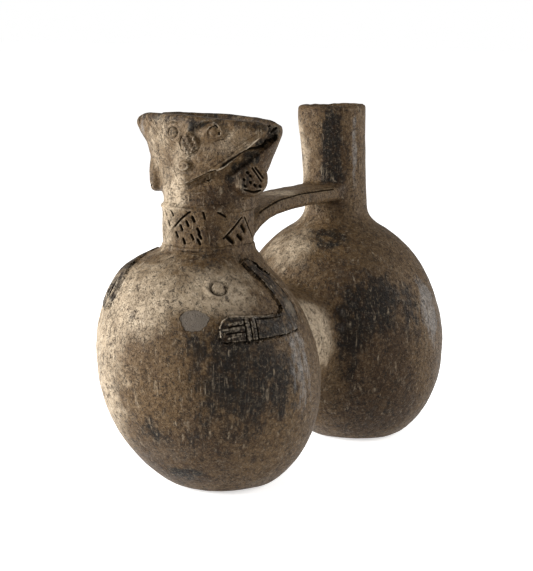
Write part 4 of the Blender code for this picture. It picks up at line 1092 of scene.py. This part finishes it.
def build_bottle(sizes, colours):
    """Make the whole bottle as one closed mesh."""
    bottle = Bottle(sizes)
    low = np.array(CAD_BOX[0]) - 3.0 * sizes.facet
    high = np.array(CAD_BOX[1]) + 3.0 * sizes.facet
    points, quads = surface_net(bottle.plain_clay, low, high, sizes.facet)
    faces = np.concatenate([quads[:, (0, 1, 2)], quads[:, (0, 2, 3)]])
    points = settle(bottle.plain_clay, points)
    for _round in range(2):
        points = settle(bottle.plain_clay, relax(points, faces), rounds=1)

    marks, mark_points = {}, []
    for name, (strokes, half_width, depth, dirt) in mark_groups(bottle).items():
        obj, places = stroke_object(name, bottle, strokes)
        marks[name] = (obj, half_width, depth, dirt)
        mark_points.append(places)
    mark_points = np.concatenate(mark_points)
    tree = kdtree.KDTree(len(mark_points))
    for i, place in enumerate(mark_points):
        tree.insert(place, i)
    tree.balance()

    def target(p):
        """Longest edge allowed at each place: fine round the marks and the relief."""
        length = np.full(len(p), 1.60 * sizes.facet)
        outer = bottle.outer_skin(p)
        face = outer & (p[:, 2] > 127.0 * MM) & (p[:, 1] < sizes.front_y + 26.0 * MM)
        length[face] = 2.6 * MM
        front = outer & (p[:, 1] < bottle.neck[1]) & (p[:, 2] > 160.0 * MM)
        length[front] = 1.45 * MM
        chamber = np.flatnonzero(outer & (p[:, 2] > 84.0 * MM) & (p[:, 2] < 128.0 * MM)
                                 & (p[:, 1] < sizes.front_y + 24.0 * MM))
        near = p[chamber]
        edge = np.full(len(near), np.inf)
        for outline, path in zip((HOLDING_ARM, RAISED_ARM), bottle.arm_paths):
            edge = np.minimum(edge, np.abs(path_distance(near, path)))
        edge = np.minimum(edge, np.maximum(bottle.ridge_distance(near) - 1.0 * MM, 0.0) + 0.4 * MM)
        for spot, reach in ((HOLDING_NIPPLE, 8.0), (RAISED_NIPPLE, 6.0), (SCAR, 8.5)):
            gap = np.linalg.norm(near - bottle.on_chamber(*spot), axis=1)
            edge = np.minimum(edge, np.maximum(gap - reach * MM, 0.0) + 0.6 * MM)
        length[chamber] = np.minimum(length[chamber], 1.00 * MM + 1.5 * np.maximum(edge - 1.2 * MM, 0.0))
        close = np.flatnonzero(outer & (p[:, 1] < 50.0 * MM) & (p[:, 2] > 84.0 * MM))
        gaps = np.array([tree.find(place)[2] for place in p[close]])
        length[close] = np.minimum(length[close], 0.64 * MM + 1.5 * np.maximum(gaps - 1.0 * MM, 0.0))
        return length

    for _round in range(5):
        count = len(points)
        points, faces = split_long_edges(points, faces, target)
        points[count:] = settle(bottle.clay, points[count:], rounds=1)
        if len(points) == count:
            break
    points = settle(bottle.clay, points, rounds=1)
    points = settle(bottle.clay, relax(points, faces, 0.3), rounds=2)

    mesh = bpy.data.meshes.new("bottle")
    mesh.from_pydata(points.tolist(), [], faces.tolist())
    mesh.shade_smooth()
    obj = bpy.data.objects.new("double_spout_bottle_clay", mesh)
    bpy.context.scene.collection.objects.link(obj)
    material = clay_material(colours)
    store(mesh, "carved", np.zeros(len(points)))
    apply_tree(obj, hand_tree(), height=sizes.unevenness, material=material)
    press = press_tree()
    for strokes, half_width, depth, dirt in marks.values():
        apply_tree(obj, press, strokes=strokes, half_width=half_width, depth=depth, burr=0.04 * depth,
                   dirt=dirt,
                   material=material)
        bpy.data.objects.remove(strokes)

    mesh = obj.data
    places = np.empty(len(mesh.vertices) * 3, np.float32)
    mesh.vertices.foreach_get("co", places)
    places = places.reshape(-1, 3).astype(float)
    places[:, 2] = np.maximum(places[:, 2], 0.0)
    mesh.vertices.foreach_set("co", places.astype(np.float32).ravel())
    store(mesh, "edge", edge_sharpness(mesh, places))
    rim = smooth_step(-5.5 * MM, -2.5 * MM, places[:, 2] - bottle.lip_z(places)) * (places[:, 1] < 0.0)
    # Smoke clouds, the darker arms and lip, and painted shade under the jaw, under the collar and beside the
    # nose.
    store(mesh, "smoke", cloud_cover(places, SMOKE_AND_SHADE) + 0.65 * arm_cover(bottle, places) + 0.50 * rim)
    # Stains and the darker inside of the bottle, with painted shade under the chin, the jaw and the collar.
    store(mesh, "stain", cloud_cover(places, STAINS_AND_SHADE) + ~bottle.outer_skin(places) * 0.7)
    # Dust, with painted light on the sides that face the lamps.
    store(mesh, "dust", cloud_cover(places, DUST_AND_LIGHT))
    # Burnish, with a painted grey sheen along the right edges.
    store(mesh, "shine", cloud_cover(places, BURNISH_AND_SHEEN))
    store(mesh, "scar", scar_cover(bottle, places))
    # Painted highlight on the arm ridges, and wear on the elbow and the face's edge.
    store(mesh, "wear_and_highlight", wear_and_highlight_cover(bottle, places))
    mesh.update()
    return obj


def edge_sharpness(mesh, points):
    """Curvature for each millimetre: above 0 on raised edges, below 0 in hollows."""
    corners = np.empty(len(mesh.loops), np.int32)
    mesh.loops.foreach_get("vertex_index", corners)
    faces = corners.reshape(-1, 3)
    a, b, c = (points[faces[:, i]] for i in range(3))
    facing = np.cross(b - a, c - a)
    normals, total, square, count = np.zeros_like(points), np.zeros_like(points), np.zeros(len(points)), 0.0
    for axis in range(3):
        for corner in range(3):
            normals[:, axis] += np.bincount(faces[:, corner], facing[:, axis], len(points))
    normals /= np.maximum(np.linalg.norm(normals, axis=1, keepdims=True), 1e-12)
    for shift in (1, 2):
        gap = points[np.roll(faces, -shift, axis=1).ravel()] - points[faces.ravel()]
        for axis in range(3):
            total[:, axis] += np.bincount(faces.ravel(), gap[:, axis], len(points))
        square += np.bincount(faces.ravel(), np.einsum('ij,ij->i', gap, gap), len(points))
        count += np.bincount(faces.ravel(), minlength=len(points))
    curve = -2.0 * np.einsum('ij,ij->i', total, normals) / np.maximum(square, 1e-12) * MM
    for _round in range(2):
        near = np.zeros(len(points))
        for shift in (1, 2):
            near += np.bincount(faces.ravel(), curve[np.roll(faces, -shift, axis=1).ravel()], len(points))
        curve = 0.5 * curve + 0.5 * near / count
    return curve


def arm_cover(bottle, points):
    """1 on the arms, which stayed darker than the chest."""
    cover = np.zeros(len(points))
    chosen = np.flatnonzero((points[:, 2] > 84.0 * MM) & (points[:, 2] < 129.0 * MM)
                            & (points[:, 1] < bottle.s.front_y + 30.0 * MM) & bottle.outer_skin(points))
    for outline, path in zip((HOLDING_ARM, RAISED_ARM), bottle.arm_paths):
        cover[chosen] += smooth_step(-0.5 * MM, 1.0 * MM, bottle.arm_depth(points[chosen], outline, path))
    return cover


def scar_cover(bottle, points):
    """1 on the smooth grey scar on the chest."""
    return 1.0 - smooth_step(0.80, 1.05, bottle.scar_reach(points))


def wear_and_highlight_cover(bottle, points):
    """1 on the arm and finger ridges, where a highlight is painted pale, and on the edge of the face, which
    hands have rubbed pale.
    """
    cover = np.zeros(len(points))
    chest = np.flatnonzero((points[:, 2] > 84.0 * MM) & (points[:, 2] < 125.0 * MM)
                           & (points[:, 1] < bottle.neck[1]) & bottle.outer_skin(points))
    # Painted highlight along the arm and finger ridges.
    cover[chest] = 0.62 * (1.0 - smooth_step(0.2 * MM, 0.95 * MM, bottle.ridge_distance(points[chest])))
    across = (points[:, 0] - bottle.crown[0]) / MM
    jaw = hump(bottle.below_jaw(points), -0.2 * MM, 0.7 * MM) * smooth_step(15.0, 19.0, across)
    proud = smooth_step(1.0 * MM, 2.0 * MM, bottle.head(points)) * (points[:, 1] < bottle.neck[1])
    elbow = np.linalg.norm((points - bottle.on_chamber(*ELBOW)) * (1.0, 1.0, 0.6), axis=1)
    cover += 0.42 * (1.0 - smooth_step(2.0 * MM, 9.0 * MM, elbow))
    return cover + 0.8 * jaw * proud * (1.0 - smooth_step(35.0, 39.0, across))


# Operators

class BOTTLE_OT_clay(bpy.types.Operator):
    """Make the bottle in burnished clay in place of its plain solid"""
    bl_idname = "bottle.clay"
    bl_label = "Clay Bottle"

    def execute(self, context):
        piece = build_bottle(context.scene.bottle_sizes, context.scene.bottle_colours)
        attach(piece, "root")
        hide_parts(NODE)
        return {'FINISHED'}


class BOTTLE_OT_stage(bpy.types.Operator):
    """Make the pale floor, the soft lights and the camera"""
    bl_idname = "bottle.stage"
    bl_label = "Stage"

    def execute(self, context):
        make_floor(context.scene.bottle_colours)
        make_lights()
        make_camera()
        return {'FINISHED'}


def make_floor(colours):
    """Wide pale floor."""
    half = 6.0
    mesh = bpy.data.meshes.new("floor")
    corners = [(-half, -half, 0.0), (half, -half, 0.0), (half, half, 0.0), (-half, half, 0.0)]
    mesh.from_pydata(corners, [], [(0, 1, 2, 3)])
    obj = bpy.data.objects.new("floor", mesh)
    bpy.context.scene.collection.objects.link(obj)
    material = bpy.data.materials.new("matt_studio_paper")
    material.use_nodes = True
    shader = material.node_tree.nodes["Principled BSDF"]
    shader.inputs["Base Color"].default_value = linear(colours.floor)
    shader.inputs["Roughness"].default_value = 0.9
    shader.inputs["Emission Color"].default_value = (1.0, 1.0, 1.0, 1.0)
    shader.inputs["Emission Strength"].default_value = 0.62
    mesh.materials.append(material)


def make_light(name, place, aim, size, power):
    """Square soft light at a place, turned to a point."""
    data = bpy.data.lights.new(name, 'AREA')
    data.shape = 'SQUARE'
    data.size = size
    data.energy = power
    obj = bpy.data.objects.new(name, data)
    obj.location = place
    obj.rotation_euler = (Vector(aim) - Vector(place)).to_track_quat('-Z', 'Y').to_euler()
    bpy.context.scene.collection.objects.link(obj)


def make_lights():
    """White surroundings, a large soft light on the left and a weaker one on the right."""
    make_light("key", (-1.12, -0.92, 0.60), (0.0, 0.0, 0.10), 0.8, 53.0)
    make_light("right", (1.15, 0.75, 0.60), (0.0, 0.0, 0.10), 0.7, 16.0)
    world = bpy.data.worlds.new("white_studio")
    world.use_nodes = True
    tree = world.node_tree
    tree.nodes.clear()
    seen = add(tree, 'ShaderNodeLightPath').outputs["Is Camera Ray"]
    strength = add(tree, 'ShaderNodeMapRange', {0: seen}, in_3=0.42, in_4=1.0)
    light = add(tree, 'ShaderNodeBackground', {"Strength": strength.outputs[0]}, in_0=(1.0, 1.0, 1.0, 1.0))
    add(tree, 'ShaderNodeOutputWorld', {0: light.outputs[0]})
    bpy.context.scene.world = world
    bpy.context.scene.view_settings.view_transform = 'Standard'


def make_camera():
    """Long lens that looks down a little from the figure's left."""
    turn, distance, height, pitch = math.radians(29.96), 1.1402, 0.2712, 8.615
    data = bpy.data.cameras.new("camera")
    data.lens = 128.13
    data.sensor_width = 36.0
    data.shift_x = -0.01595
    data.clip_start = 0.05
    data.clip_end = 20.0
    camera = bpy.data.objects.new("camera", data)
    middle = (-0.00162, -0.00118)
    camera.location = (middle[0] + distance * math.sin(turn), middle[1] - distance * math.cos(turn), height)
    camera.rotation_euler = (math.radians(90.0 - pitch), 0.0, turn)
    bpy.context.scene.collection.objects.link(camera)
    bpy.context.scene.camera = camera


class BOTTLE_PT_panel(bpy.types.Panel):
    """Panel that lists the bottle's steps and sizes"""
    bl_idname = "BOTTLE_PT_panel"
    bl_label = "Double Spout Bottle"
    bl_space_type = 'VIEW_3D'
    bl_region_type = 'UI'
    bl_category = "Bottle"

    def draw(self, context):
        layout = self.layout
        layout.operator(BOTTLE_OT_clay.bl_idname)
        layout.operator(BOTTLE_OT_stage.bl_idname)
        for group in (context.scene.bottle_sizes, context.scene.bottle_colours):
            for name in group.__annotations__:
                layout.prop(group, name)


CLASSES = (BottleSizes, BottleColours, BOTTLE_OT_clay, BOTTLE_OT_stage, BOTTLE_PT_panel)


def register():
    """Register the classes and their settings."""
    for cls in CLASSES:
        bpy.utils.register_class(cls)
    bpy.types.Scene.bottle_sizes = PointerProperty(type=BottleSizes)
    bpy.types.Scene.bottle_colours = PointerProperty(type=BottleColours)


def unregister():
    """Remove the settings and the classes."""
    del bpy.types.Scene.bottle_colours
    del bpy.types.Scene.bottle_sizes
    for cls in reversed(CLASSES):
        bpy.utils.unregister_class(cls)


def main():
    """Build the scene."""
    register()
    bpy.ops.bottle.clay()
    bpy.ops.bottle.stage()


if __name__ == "__main__":
    main()
